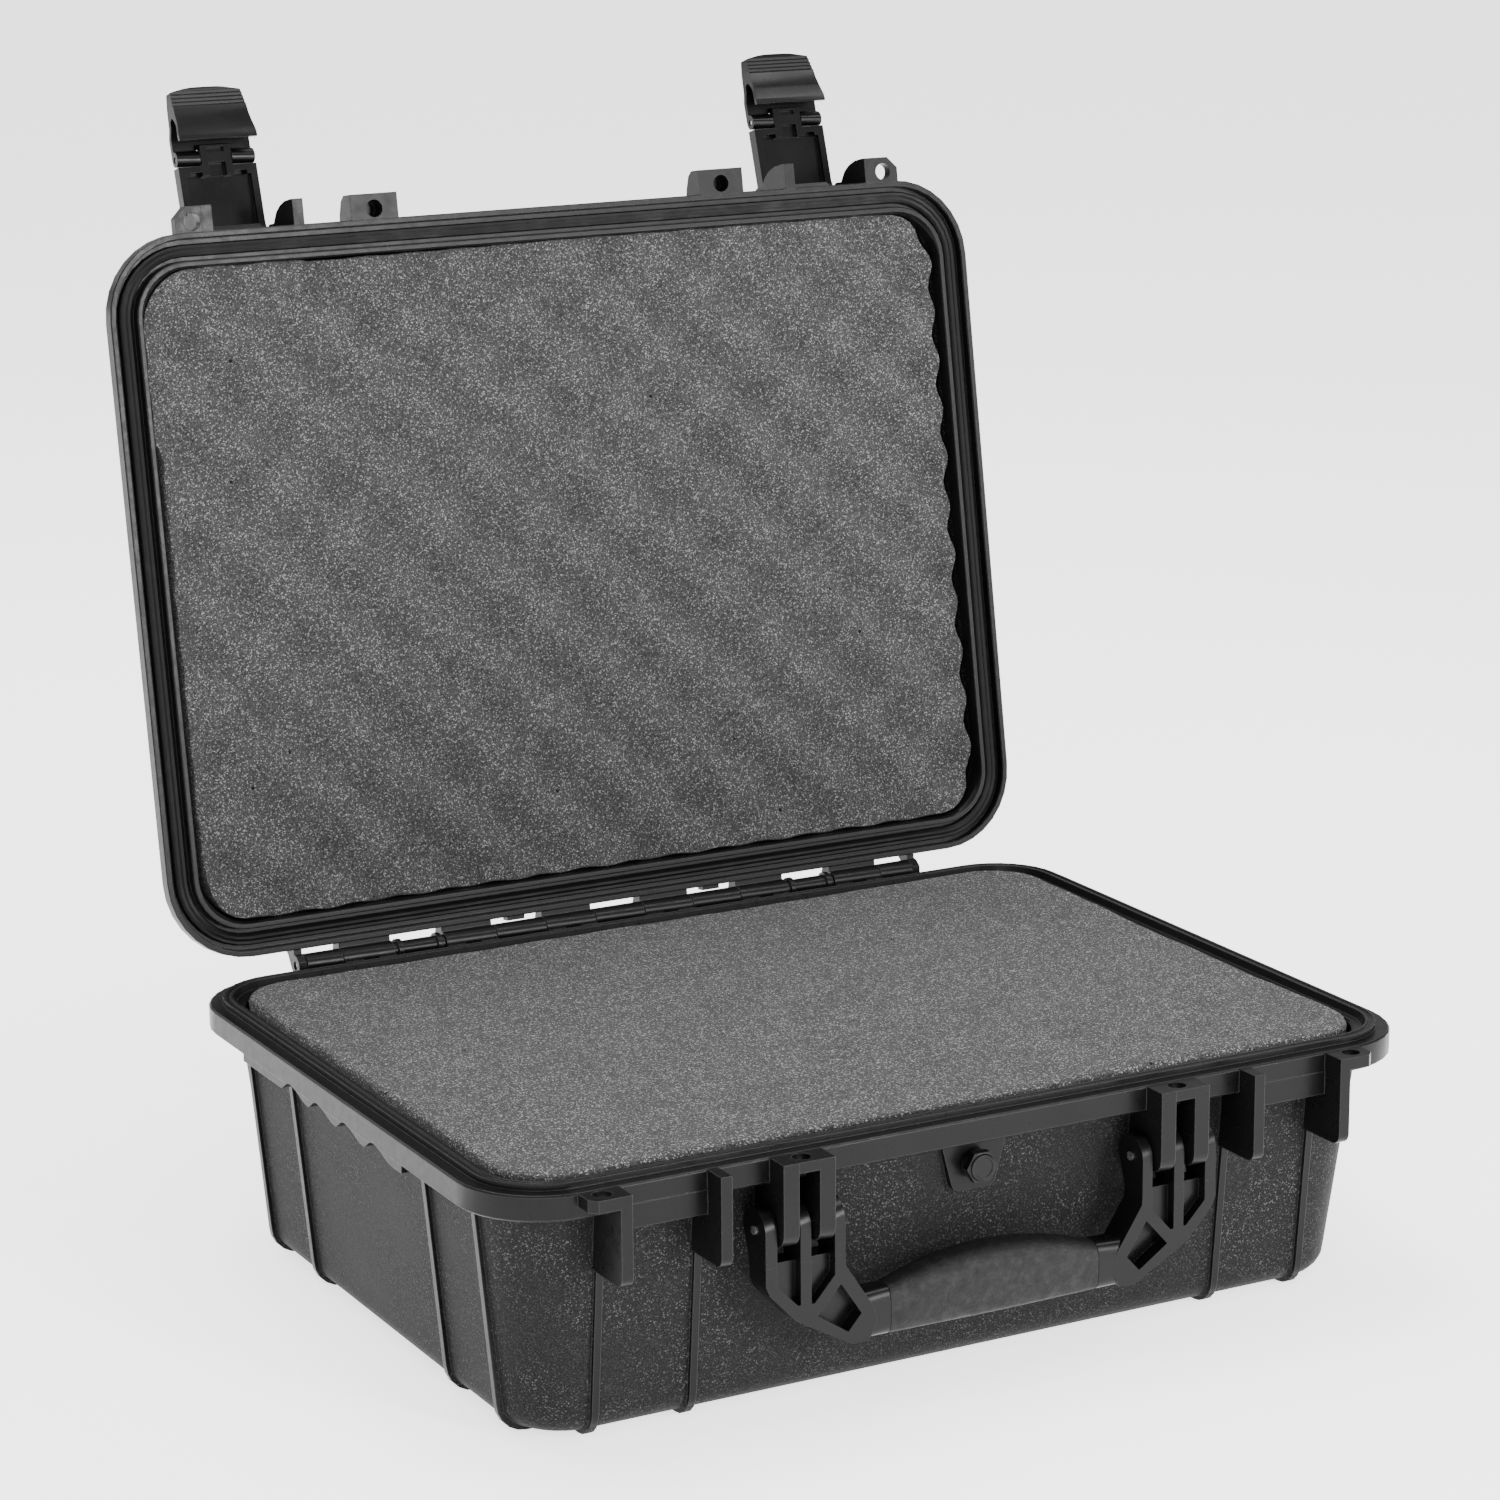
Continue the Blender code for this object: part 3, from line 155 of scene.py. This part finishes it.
# Stage, and lights: each one's name, place, what it faces, size and watts.
FLOOR_HALF = 12.0
FLOOR_Z = -0.0002
WORLD_STRENGTH = 0.55
CASE_MIDDLE = (0.0, 0.0, 0.15)
LIGHTS = (
    ("top_softbox", (-0.3, 0.7, 2.5), (0.0, 0.0, 0.12), (1.8, 1.8), 76.0),
    ("key_softbox", (-1.7, -2.3, 2.0), CASE_MIDDLE, (1.1, 1.1), 34.0),
    ("left_softbox", (-2.4, -0.1, 1.4), CASE_MIDDLE, (1.4, 1.4), 1.5),
    ("front_kicker", (0.70, -2.2, 0.78), (-0.2, 0.25, 0.35), (0.34, 0.70), 44.0),
    ("right_softbox", (1.6, -2.2, 0.75), CASE_MIDDLE, (0.9, 0.9), 26.0),
    ("edge_softbox", (1.1, -0.8, 2.2), CASE_MIDDLE, (0.6, 0.6), 15.0),
    ("back_softbox", (-0.9, 2.2, 1.3), CASE_MIDDLE, (0.9, 0.9), 6.0),
)


# --------------------------------------------------------------------- materials

def new_material(name):
    mat = bpy.data.materials.new(name)
    mat.use_nodes = True
    tree = mat.node_tree
    return mat, tree, tree.nodes["Principled BSDF"]


def add_node(tree, kind, **settings):
    """A new node; each setting is one of its inputs' values or an attribute."""
    node = tree.nodes.new(kind)
    for key, value in settings.items():
        if key in node.inputs:
            node.inputs[key].default_value = value
        else:
            setattr(node, key, value)
    return node


def feed(tree, value, socket):
    """Give an input another node's output, or a plain value."""
    if isinstance(value, bpy.types.NodeSocket):
        tree.links.new(value, socket)
    else:
        socket.default_value = value


def texture_coords(tree):
    return tree.nodes.new("ShaderNodeTexCoord").outputs["Object"]


def noise(tree, coords, scale, detail, roughness=0.5):
    node = add_node(tree, "ShaderNodeTexNoise", Scale=scale, Detail=detail, Roughness=roughness)
    tree.links.new(coords, node.inputs["Vector"])
    return node.outputs["Fac"]


def cells(tree, coords, scale):
    node = add_node(tree, "ShaderNodeTexVoronoi", Scale=scale)
    tree.links.new(coords, node.inputs["Vector"])
    return node.outputs


def ramp(tree, source, stops):
    node = tree.nodes.new("ShaderNodeValToRGB")
    node.color_ramp.elements[0].position = stops[0][0]
    node.color_ramp.elements[0].color = stops[0][1]
    node.color_ramp.elements[1].position = stops[-1][0]
    node.color_ramp.elements[1].color = stops[-1][1]
    for position, colour in stops[1:-1]:
        element = node.color_ramp.elements.new(position)
        element.color = colour
    tree.links.new(source, node.inputs["Fac"])
    return node.outputs["Color"]


def grey(value):
    return (value, value, value, 1.0)


def tint(base, times=1.0, plus=0.0):
    """A base colour made brighter, with the alpha that colour inputs take."""
    return (*[channel * times + plus for channel in base], 1.0)


def remap(tree, source, low, high, to_low, to_high):
    node = tree.nodes.new("ShaderNodeMapRange")
    node.inputs["From Min"].default_value = low
    node.inputs["From Max"].default_value = high
    node.inputs["To Min"].default_value = to_low
    node.inputs["To Max"].default_value = to_high
    tree.links.new(source, node.inputs["Value"])
    return node.outputs["Result"]


def bump(tree, height, strength, distance, normal=None):
    node = add_node(tree, "ShaderNodeBump", Distance=distance)
    feed(tree, strength, node.inputs["Strength"])
    tree.links.new(height, node.inputs["Height"])
    if normal is not None:
        tree.links.new(normal, node.inputs["Normal"])
    return node.outputs["Normal"]


def worn_and_highlit_edges(tree, radius, wear_and_highlight):
    """A rounded-edge normal, and a mask: edge wear and painted edge highlight on the edges, 0 on the
    faces.
    """
    rounded = add_node(tree, "ShaderNodeBevel", Radius=radius, samples=4)
    geometry = tree.nodes.new("ShaderNodeNewGeometry")
    fit = add_node(tree, "ShaderNodeVectorMath", operation="DOT_PRODUCT")
    tree.links.new(rounded.outputs["Normal"], fit.inputs[0])
    tree.links.new(geometry.outputs["Normal"], fit.inputs[1])
    return rounded.outputs["Normal"], remap(tree, fit.outputs["Value"], 0.90, 0.995, wear_and_highlight, 0.0)


def math_node(tree, operation, *operands):
    """A Math node; each operand is a socket or a number."""
    node = add_node(tree, "ShaderNodeMath", operation=operation)
    for operand, socket in zip(operands, node.inputs):
        feed(tree, operand, socket)
    return node.outputs[0]


def mix_colours(tree, factor, first, second):
    node = add_node(tree, "ShaderNodeMix", data_type="RGBA")
    for index, value in ((0, factor), (6, first), (7, second)):
        feed(tree, value, node.inputs[index])
    return node.outputs[2]


def mix_numbers(tree, factor, first, second):
    node = tree.nodes.new("ShaderNodeMix")
    for index, value in ((0, factor), (2, first), (3, second)):
        feed(tree, value, node.inputs[index])
    return node.outputs[0]


def first_channel(tree, colour):
    node = tree.nodes.new("ShaderNodeSeparateColor")
    tree.links.new(colour, node.inputs[0])
    return node.outputs[0]


def closed_coords(tree, coords):
    """Coordinates of the lid as if it were closed."""
    node = tree.nodes.new("ShaderNodeMapping")
    close = LID_OPEN.inverted()
    node.inputs["Location"].default_value = close.to_translation()
    node.inputs["Rotation"].default_value = close.to_euler()
    tree.links.new(coords, node.inputs["Vector"])
    return node.outputs["Vector"]


def wall_mask(tree, coords, band_z, way):
    """1 on a shell's drafted walls and flat face, 0 on its bands and hardware.

    way is 1 for the lid, whose walls rise from the band, and -1 for the base.
    """
    split = tree.nodes.new("ShaderNodeSeparateXYZ")
    tree.links.new(coords, split.inputs[0])
    away = math_node(tree, "MULTIPLY", math_node(tree, "SUBTRACT", split.outputs["Z"], band_z), float(way))
    inset = math_node(tree, "MULTIPLY_ADD", away, DRAFT, WALL_IN)
    inside_x = math_node(tree, "SUBTRACT", HALF_W, math_node(tree, "ABSOLUTE", split.outputs["X"]))
    inside_y = math_node(tree, "SUBTRACT", HALF_D, math_node(tree, "ABSOLUTE", split.outputs["Y"]))
    nearest = math_node(tree, "MINIMUM", inside_x, inside_y)
    within = math_node(tree, "GREATER_THAN", nearest, inset)
    beyond = math_node(tree, "GREATER_THAN", away, PAST_BAND)
    return math_node(tree, "MULTIPLY", within, beyond)


def moulded_plastic(name, base, rough, specular):
    """Smooth satin moulding: faint flow mottling, fine scuffs, and edges lightened for wear and as painted
    highlights.
    """
    mat, tree, shader = new_material(name)
    coords = texture_coords(tree)
    edge_normal, rub_and_highlight = worn_and_highlit_edges(tree, radius=0.0003, wear_and_highlight=1.0)
    mottle = noise(tree, coords, FLOW_SCALE, 4.0, 0.6)
    scuffs = noise(tree, coords, SCUFF_SCALE, 2.0, 0.55)
    colour = ramp(tree, mottle, ((0.30, tint(base)), (0.75, tint(base, 1.4))))
    # Edge colour: lightened for edge wear, and as a painted highlight along the rounded edges.
    rubbed_and_highlit = tint(base, 4.0, 0.012)
    tree.links.new(mix_colours(tree, rub_and_highlight, colour, rubbed_and_highlit), shader.inputs["Base Color"])
    tree.links.new(remap(tree, mottle, 0.25, 0.75, rough - 0.06, rough + 0.06), shader.inputs["Roughness"])
    shader.inputs["Specular IOR Level"].default_value = specular
    tree.links.new(bump(tree, scuffs, 0.06, 0.0003, edge_normal), shader.inputs["Normal"])
    return mat


def shell_plastic(name, is_lid):
    """Spark-eroded walls with painted glints, and smooth satin bands, ribs and lugs."""
    mat, tree, shader = new_material(name)
    coords = texture_coords(tree)
    if is_lid:
        walls = wall_mask(tree, closed_coords(tree, coords), LID_BAND_Z, 1)
    else:
        walls = wall_mask(tree, coords, BASE_BAND_Z, -1)
    edge_normal, rub_and_highlight = worn_and_highlit_edges(tree, radius=0.0006, wear_and_highlight=0.85)
    mottle = noise(tree, coords, SHELL_FLOW_SCALE, 5.0, 0.6)
    streaks = noise(tree, coords, STREAK_SCALE, 3.0, 0.6)
    erosion = noise(tree, coords, EROSION_SCALE, 3.0, 0.6)
    satin = ramp(tree, mottle, ((0.30, grey(0.0038)), (0.75, grey(0.0058))))
    eroded = ramp(tree, erosion, ((0.36, grey(0.0065)), (0.52, grey(0.0115)), (0.66, grey(0.0210))))
    # Painted glints: a few random cells on the walls get a bright grey 0.08 base colour, denser in some
    # patches.
    chance = first_channel(tree, cells(tree, coords, GLINT_SCALE)["Color"])
    speck_and_glint = remap(tree, chance, 0.900, 0.930, 0.0, 1.0)
    glint_patch = remap(tree, mottle, 0.4, 0.65, 0.2, 1.0)
    wall_colour = mix_colours(tree, math_node(tree, "MULTIPLY", speck_and_glint, glint_patch), eroded, grey(0.080))
    colour = mix_colours(tree, walls, satin, wall_colour)
    # Edges lightened to grey 0.05: partly edge wear, partly a painted highlight.
    tree.links.new(mix_colours(tree, rub_and_highlight, colour, grey(0.050)), shader.inputs["Base Color"])
    satin_rough = remap(tree, streaks, 0.30, 0.70, 0.25, 0.36)
    wall_rough = remap(tree, mottle, 0.25, 0.75, 0.50, 0.60)
    tree.links.new(mix_numbers(tree, walls, satin_rough, wall_rough), shader.inputs["Roughness"])
    gloss = math_node(tree, "MULTIPLY_ADD", walls, -0.08, 0.14)
    tree.links.new(gloss, shader.inputs["Specular IOR Level"])
    grain = math_node(tree, "MULTIPLY_ADD", walls, 0.55, 0.05)
    tree.links.new(bump(tree, erosion, grain, 0.0004, edge_normal), shader.inputs["Normal"])
    return mat


def crest_shade(tree, coords):
    """Painted shade: darker in the egg-crate's dips, where its light is shut out."""
    split = tree.nodes.new("ShaderNodeSeparateXYZ")
    tree.links.new(closed_coords(tree, coords), split.inputs[0])
    turn = 2 * math.pi / CREST_PITCH
    waves = []
    for operation, share in (("SUBTRACT", 0.70), ("ADD", 0.30)):
        along = math_node(tree, operation, split.outputs["X"], split.outputs["Y"])
        wave = math_node(tree, "COSINE", math_node(tree, "MULTIPLY", along, turn))
        waves.append(math_node(tree, "MULTIPLY", wave, share))
    return remap(tree, math_node(tree, "ADD", *waves), -1.0, 1.0, 0.85, 1.09)


def foam_material(name, low, high, glint, with_crest_shade=False):
    """Open-cell foam: each cell has its own brightness, with a few pinholes painted as near-black dots of
    shade.
    """
    mat, tree, shader = new_material(name)
    coords = texture_coords(tree)
    cell = cells(tree, coords, CELL_SCALE)
    pore = noise(tree, coords, CELL_SCALE * 0.4, 3.0, 0.75)
    cloud = noise(tree, coords, CLOUD_SCALE, 4.0, 0.6)
    stops = ((0.00, grey(low * 0.50)), (0.30, grey(low)), (0.85, grey(high)), (0.97, grey(high * glint)))
    speck_and_glint = ramp(tree, first_channel(tree, cell["Color"]), stops)
    cloudy = remap(tree, cloud, 0.3, 0.7, 0.88, 1.10)
    porous = remap(tree, pore, 0.3, 0.7, 0.75, 1.25)
    patch = math_node(tree, "MULTIPLY", cloudy, porous)
    # Painted shade: the egg-crate's dips are darkened.
    if with_crest_shade:
        patch = math_node(tree, "MULTIPLY", patch, crest_shade(tree, coords))
    shade = add_node(tree, "ShaderNodeVectorMath", operation="SCALE")
    tree.links.new(speck_and_glint, shade.inputs[0])
    tree.links.new(patch, shade.inputs["Scale"])
    # Pinholes: near-black dots, painted shade for holes the mesh doesn't have.
    pinhole_shade = remap(tree, cells(tree, coords, PINHOLE_SCALE)["Distance"], 0.030, 0.036, 1.0, 0.0)
    colour = mix_colours(tree, pinhole_shade, shade.outputs["Vector"], grey(0.002))
    tree.links.new(colour, shader.inputs["Base Color"])
    shader.inputs["Roughness"].default_value = 0.95
    shader.inputs["Specular IOR Level"].default_value = 0.2
    shader.inputs["Sheen Weight"].default_value = 0.05
    rough_cells = bump(tree, cell["Distance"], 0.5, 0.0004)
    tree.links.new(bump(tree, pore, 0.6, 0.0006, rough_cells), shader.inputs["Normal"])
    return mat


def rubber_material(name, base, rough, grain_size, strength, patch_scale):
    """Matt rubber, paler in worn patches, with a fine grain."""
    mat, tree, shader = new_material(name)
    coords = texture_coords(tree)
    patch = noise(tree, coords, patch_scale, 5.0, 0.7)
    fine = noise(tree, coords, 1.0 / grain_size, 3.0, 0.6)
    stops = ((0.38, tint(base)), (0.52, tint(base, 1.8)), (0.66, tint(base, 4.0)))
    tree.links.new(ramp(tree, patch, stops), shader.inputs["Base Color"])
    tree.links.new(remap(tree, patch, 0.3, 0.7, rough + 0.10, rough - 0.10), shader.inputs["Roughness"])
    shader.inputs["Specular IOR Level"].default_value = 0.25
    tree.links.new(bump(tree, fine, strength, grain_size * 0.8), shader.inputs["Normal"])
    return mat


def steel_material(name):
    """Drawn steel rod, with its lines along x."""
    mat, tree, shader = new_material(name)
    stretch = add_node(tree, "ShaderNodeMapping", Scale=(60.0, 900.0, 900.0))
    tree.links.new(texture_coords(tree), stretch.inputs["Vector"])
    lines = noise(tree, stretch.outputs["Vector"], 1.0, 3.0)
    shader.inputs["Metallic"].default_value = 1.0
    shader.inputs["Base Color"].default_value = (0.60, 0.60, 0.58, 1.0)
    tree.links.new(remap(tree, lines, 0.3, 0.7, 0.22, 0.42), shader.inputs["Roughness"])
    tree.links.new(bump(tree, lines, 0.15, 0.0002), shader.inputs["Normal"])
    return mat


# ----------------------------------------------------------------- mesh helpers

def mesh_object(name, bm):
    mesh = bpy.data.meshes.new(name)
    bm.to_mesh(mesh)
    bm.free()
    obj = bpy.data.objects.new(name, mesh)
    bpy.context.scene.collection.objects.link(obj)
    return obj


def welded_copy(node, name):
    """A copy of a CAD node whose faces share their vertices."""
    bm = bmesh.new()
    bm.from_mesh(NODES[node].data)
    bmesh.ops.remove_doubles(bm, verts=bm.verts[:], dist=WELD)
    obj = mesh_object(name, bm)
    flat_normals = obj.data.attributes.get("custom_normal")
    if flat_normals is not None:
        obj.data.attributes.remove(flat_normals)
    return obj


def set_material(obj, mat):
    obj.data.materials.clear()
    obj.data.materials.append(mat)
    for polygon in obj.data.polygons:
        polygon.material_index = 0


def stand_in(obj, node, body, mat):
    """Make a new piece stand for a CAD node, ride its body and take its finish."""
    set_material(obj, mat)
    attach(obj, body)
    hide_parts(node)


def vertex_array(obj):
    co = np.empty(len(obj.data.vertices) * 3)
    obj.data.vertices.foreach_get("co", co)
    return co.reshape(-1, 3)


def store_vertices(obj, co):
    obj.data.vertices.foreach_set("co", co.astype(np.float32).ravel())
    obj.data.update()


# -------------------------------------------------------------------------- foam

def gridded(node, name, turn):
    """A copy of a CAD solid, turned, and sliced finely along x and y."""
    obj = welded_copy(node, name)
    obj.data.transform(turn)
    bm = bmesh.new()
    bm.from_mesh(obj.data)
    for axis, half in ((Vector((1.0, 0.0, 0.0)), HALF_W), (Vector((0.0, 1.0, 0.0)), HALF_D)):
        count = int(half / FOAM_GRID)
        for k in range(-count, count + 1):
            everything = bm.verts[:] + bm.edges[:] + bm.faces[:]
            place = axis * (k * FOAM_GRID)
            bmesh.ops.bisect_plane(bm, geom=everything, plane_co=place, plane_no=axis, dist=1e-6)
    bm.to_mesh(obj.data)
    bm.free()
    return obj


def ripple(x, y, waves):
    """A gentle unevenness: a few waves with directions and phases of their own."""
    total = np.zeros_like(x)
    for length, angle, phase, height in waves:
        along = x * math.cos(angle) + y * math.sin(angle)
        total += height * np.sin(2 * math.pi * along / length + phase)
    return total


def rim_share(values, half, start, run):
    """0 inside a block, rising to 1 near its rim; start and run are shares of half."""
    return np.clip((np.abs(values) - half * start) / (half * run), 0.0, 1.0)


def step_up(values, start, run=0.003):
    """0 before a place, 1 after it, with a short smooth run between."""
    share = np.clip((values - start) / run, 0.0, 1.0)
    return share * share * (3.0 - 2.0 * share)


def base_foam(mat):
    """Top foam layer: a flat cut face that bows a little along the right side."""
    obj = gridded("base_foam_top", "base_foam_top_cut", Matrix.Identity(4))
    co = vertex_array(obj)
    x, y, z = co.T
    give = np.clip((z - (MATING_Z - GIVE_DEPTH)) / GIVE_DEPTH, 0.0, 1.0)
    z += step_up(z, MATING_Z - FACE_DEPTH) * ripple(x, y, BASE_RIPPLE)
    bow = RIGHT_BOW * (0.55 + 0.45 * np.cos(2 * math.pi * y / (HALF_D * 1.7)))
    pull = np.where(x > 0, bow, 0.0)
    pull += CUT_WAVE * (1.0 + np.sin(2 * math.pi * y / CUT_LENGTH_ALONG_Y))
    x -= np.sign(x) * rim_share(x, HALF_W, *BASE_SIDE_X) * give * pull
    side_y = rim_share(y, HALF_D, *BASE_SIDE_Y)
    pull = CUT_WAVE * (1.0 + np.sin(2 * math.pi * x / CUT_LENGTH_ALONG_X + 0.6))
    y -= np.sign(y) * side_y * give * pull
    rise = np.clip((z - MATING_Z) / FOAM_PROUD, 0.0, 1.0)
    y += np.sign(y) * side_y * EDGE_SWELL * rise * (1.0 - rise)
    store_vertices(obj, np.column_stack((x, y, z)))
    obj.data.shade_smooth()
    obj.data.set_sharp_from_angle(angle=SMOOTH_ANGLE)
    stand_in(obj, "base_foam_top", "base", mat)


def crests(x, y):
    """Egg-crate pattern between -1 at a dip and 1 at a peak, in slanting rows."""
    turn = 2 * math.pi / CREST_PITCH
    wave = 0.62 * np.cos(turn * (x - y)) + 0.38 * np.cos(turn * (x + y))
    return wave * (0.86 + 0.14 * np.sin(x / 0.083 + 0.4) * np.cos(y / 0.061 + 1.1))


def lid_foam(mat):
    """Egg-crate foam, cut level with the lid's lip; its edges wave and jog."""
    obj = gridded("lid_foam", "lid_foam_crests", LID_OPEN.inverted())
    co = vertex_array(obj)
    x, y, z = co.T
    face_z = z.min()
    depth = z.max() - face_z
    near_face = np.clip(1.0 - (z - face_z) / (depth * CREST_REACH), 0.0, 1.0)
    rim_x = rim_share(x, HALF_W, *LID_SIDE_X)
    rim_y = rim_share(y, HALF_D, *LID_SIDE_Y)
    dip = CREST_DEPTH * (0.5 - 0.5 * crests(x, y)) * (1.0 - 0.5 * np.maximum(rim_x, rim_y))
    z += near_face * dip
    z += near_face * ripple(x, y, LID_RIPPLE)
    scallop = 0.5 - 0.5 * np.cos(2 * math.pi * (y + SCALLOP_SHIFT) / (CREST_PITCH / 2))
    right = RIGHT_GAP + RIGHT_SCALLOP * scallop
    left = LEFT_SCALLOP * scallop + LEFT_JOG * step_up(y, LEFT_JOG_Y)
    x -= np.sign(x) * rim_x * near_face * np.where(x > 0, right, left)
    scallop = 0.5 - 0.5 * np.cos(2 * math.pi * x / (CREST_PITCH / 2))
    closing = np.clip(0.9 - (x - FRONT_JOG_X) / FRONT_JOG_FADE, 0.0, 1.0)
    opening = FRONT_JOG * step_up(x, FRONT_JOG_X, FRONT_JOG_RUN) * closing
    front = opening + FRONT_SCALLOP * scallop - FRONT_OVERHANG
    y -= np.sign(y) * rim_y * near_face * np.where(y < 0, front, BACK_SCALLOP * scallop)
    store_vertices(obj, np.column_stack((x, y, z)))
    obj.data.transform(LID_OPEN)
    obj.data.shade_smooth()
    obj.data.set_sharp_from_angle(angle=CREST_ANGLE)
    stand_in(obj, "lid_foam", "lid", mat)


# ------------------------------------------------------------------- soft edges

def smoothing_group():
    """Node group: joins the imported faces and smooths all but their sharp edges."""
    group = bpy.data.node_groups.new("joined_and_smoothed", "GeometryNodeTree")
    group.interface.new_socket("Geometry", in_out="INPUT", socket_type="NodeSocketGeometry")
    group.interface.new_socket("Geometry", in_out="OUTPUT", socket_type="NodeSocketGeometry")
    source = group.nodes.new("NodeGroupInput")
    merge = add_node(group, "GeometryNodeMergeByDistance", Distance=WELD)
    drop = add_node(group, "GeometryNodeRemoveAttribute", Name="custom_normal")
    faces = add_node(group, "GeometryNodeSetShadeSmooth", domain="FACE")
    edges = add_node(group, "GeometryNodeSetShadeSmooth", domain="EDGE")
    edges.inputs["Shade Smooth"].default_value = False
    steep = add_node(group, "FunctionNodeCompare", operation="GREATER_THAN", B=SMOOTH_ANGLE)
    bend = group.nodes.new("GeometryNodeInputMeshEdgeAngle")
    result = group.nodes.new("NodeGroupOutput")
    group.links.new(bend.outputs["Unsigned Angle"], steep.inputs["A"])
    group.links.new(steep.outputs["Result"], edges.inputs["Selection"])
    chain = (source, merge, drop, faces, edges, result)
    for first, second in zip(chain, chain[1:]):
        group.links.new(first.outputs[0], second.inputs[0])
    return group


def ease(node, group, width):
    """Smooth a CAD node and round its edges by modifiers; its own mesh stays."""
    obj = NODES[node]
    obj.modifiers.new("smoothed", "NODES").node_group = group
    if width > 0.0:
        rounding = obj.modifiers.new("rounded_edges", "BEVEL")
        rounding.width = width
        rounding.segments = 2
        rounding.limit_method = "ANGLE"
        rounding.angle_limit = ROUNDED_ANGLE
        rounding.use_clamp_overlap = True
    weighted = obj.modifiers.new("weighted_normals", "WEIGHTED_NORMAL")
    weighted.keep_sharp = True


# ------------------------------------------------------------------ stage, camera

def add_stage():
    """A pale floor that glows a little, like a light table."""
    bm = bmesh.new()
    bmesh.ops.create_grid(bm, x_segments=2, y_segments=2, size=FLOOR_HALF)
    floor = mesh_object("floor", bm)
    floor.location.z = FLOOR_Z
    mat, tree, shader = new_material("pale_floor")
    shader.inputs["Base Color"].default_value = grey(0.93)
    shader.inputs["Roughness"].default_value = 0.85
    shader.inputs["Emission Color"].default_value = grey(1.0)
    shader.inputs["Emission Strength"].default_value = 2.0
    floor.data.materials.append(mat)


def add_world():
    world = bpy.data.worlds.new("studio")
    bpy.context.scene.world = world
    world.use_nodes = True
    background = world.node_tree.nodes["Background"]
    background.inputs["Color"].default_value = grey(1.0)
    background.inputs["Strength"].default_value = WORLD_STRENGTH


def add_light(name, position, aim, size, power):
    light = bpy.data.lights.new(name, "AREA")
    light.shape = "RECTANGLE"
    light.size = size[0]
    light.size_y = size[1]
    light.energy = power
    obj = bpy.data.objects.new(name, light)
    bpy.context.scene.collection.objects.link(obj)
    obj.location = position
    direction = Vector(aim) - Vector(position)
    obj.rotation_euler = direction.to_track_quat("-Z", "Y").to_euler()


def add_camera():
    """The photo's view, from the case's own directions."""
    level = math.cos(VIEW_EL)
    back = Vector((math.sin(VIEW_AZ) * level, -math.cos(VIEW_AZ) * level, math.sin(VIEW_EL)))
    level_right = Vector((0.0, 0.0, 1.0)).cross(back).normalized()
    level_up = back.cross(level_right)
    right = math.cos(VIEW_ROLL) * level_right + math.sin(VIEW_ROLL) * level_up
    up = back.cross(right)
    position = VIEW_TARGET + back * VIEW_DISTANCE
    camera = bpy.data.cameras.new("camera")
    camera.lens = LENS_MM
    camera.sensor_width = 36.0
    obj = bpy.data.objects.new("camera", camera)
    bpy.context.scene.collection.objects.link(obj)
    turn = Matrix((right, up, back)).transposed().to_4x4()
    obj.matrix_world = Matrix.Translation(position) @ turn
    bpy.context.scene.camera = obj


# ------------------------------------------------------------------------- build

def finishes(foam_cut):
    """The material of each CAD node that stays in the scene."""
    satin = moulded_plastic("satin_plastic", (0.0024, 0.0024, 0.0025), rough=0.29, specular=0.18)
    grip = rubber_material("grip_rubber", (0.0027, 0.0027, 0.0027), rough=0.60,
                           grain_size=0.0010, strength=0.45, patch_scale=190.0)
    seal = rubber_material("seal_rubber", (0.0016, 0.0016, 0.0016), rough=0.45,
                           grain_size=0.0008, strength=0.06, patch_scale=90.0)
    steel = steel_material("pin_steel")
    materials = {
        "base_shell": shell_plastic("base_plastic", is_lid=False),
        "lid_shell": shell_plastic("lid_plastic", is_lid=True),
        "valve_body": satin,
        "valve_nut": satin,
        "valve_cap": satin,
        "handle_frame": satin,
        "handle_grip": grip,
        "lid_gasket": seal,
        "valve_o_ring": seal,
        "hinge_pin": steel,
        "base_foam_pad": foam_cut,
        "base_foam_middle": foam_cut,
    }
    for side in ("left", "right"):
        for pin in ("handle_pin_", "latch_pin_", "latch_lever_pin_"):
            materials[pin + side] = steel
        for latch in ("latch_arm_", "latch_lever_"):
            materials[latch + side] = satin
    return materials


def main():
    add_camera()
    add_stage()
    add_world()
    for light in LIGHTS:
        add_light(*light)

    foam_cut = foam_material("foam_cut_face", low=0.037, high=0.071, glint=4.4)
    foam_crest = foam_material("foam_crests", low=0.032, high=0.059, glint=3.6, with_crest_shade=True)
    group = smoothing_group()
    for node, mat in finishes(foam_cut).items():
        set_material(NODES[node], mat)
        ease(node, group, EDGE_WIDTHS.get(node, 0.0))
    base_foam(foam_cut)
    lid_foam(foam_crest)


main()
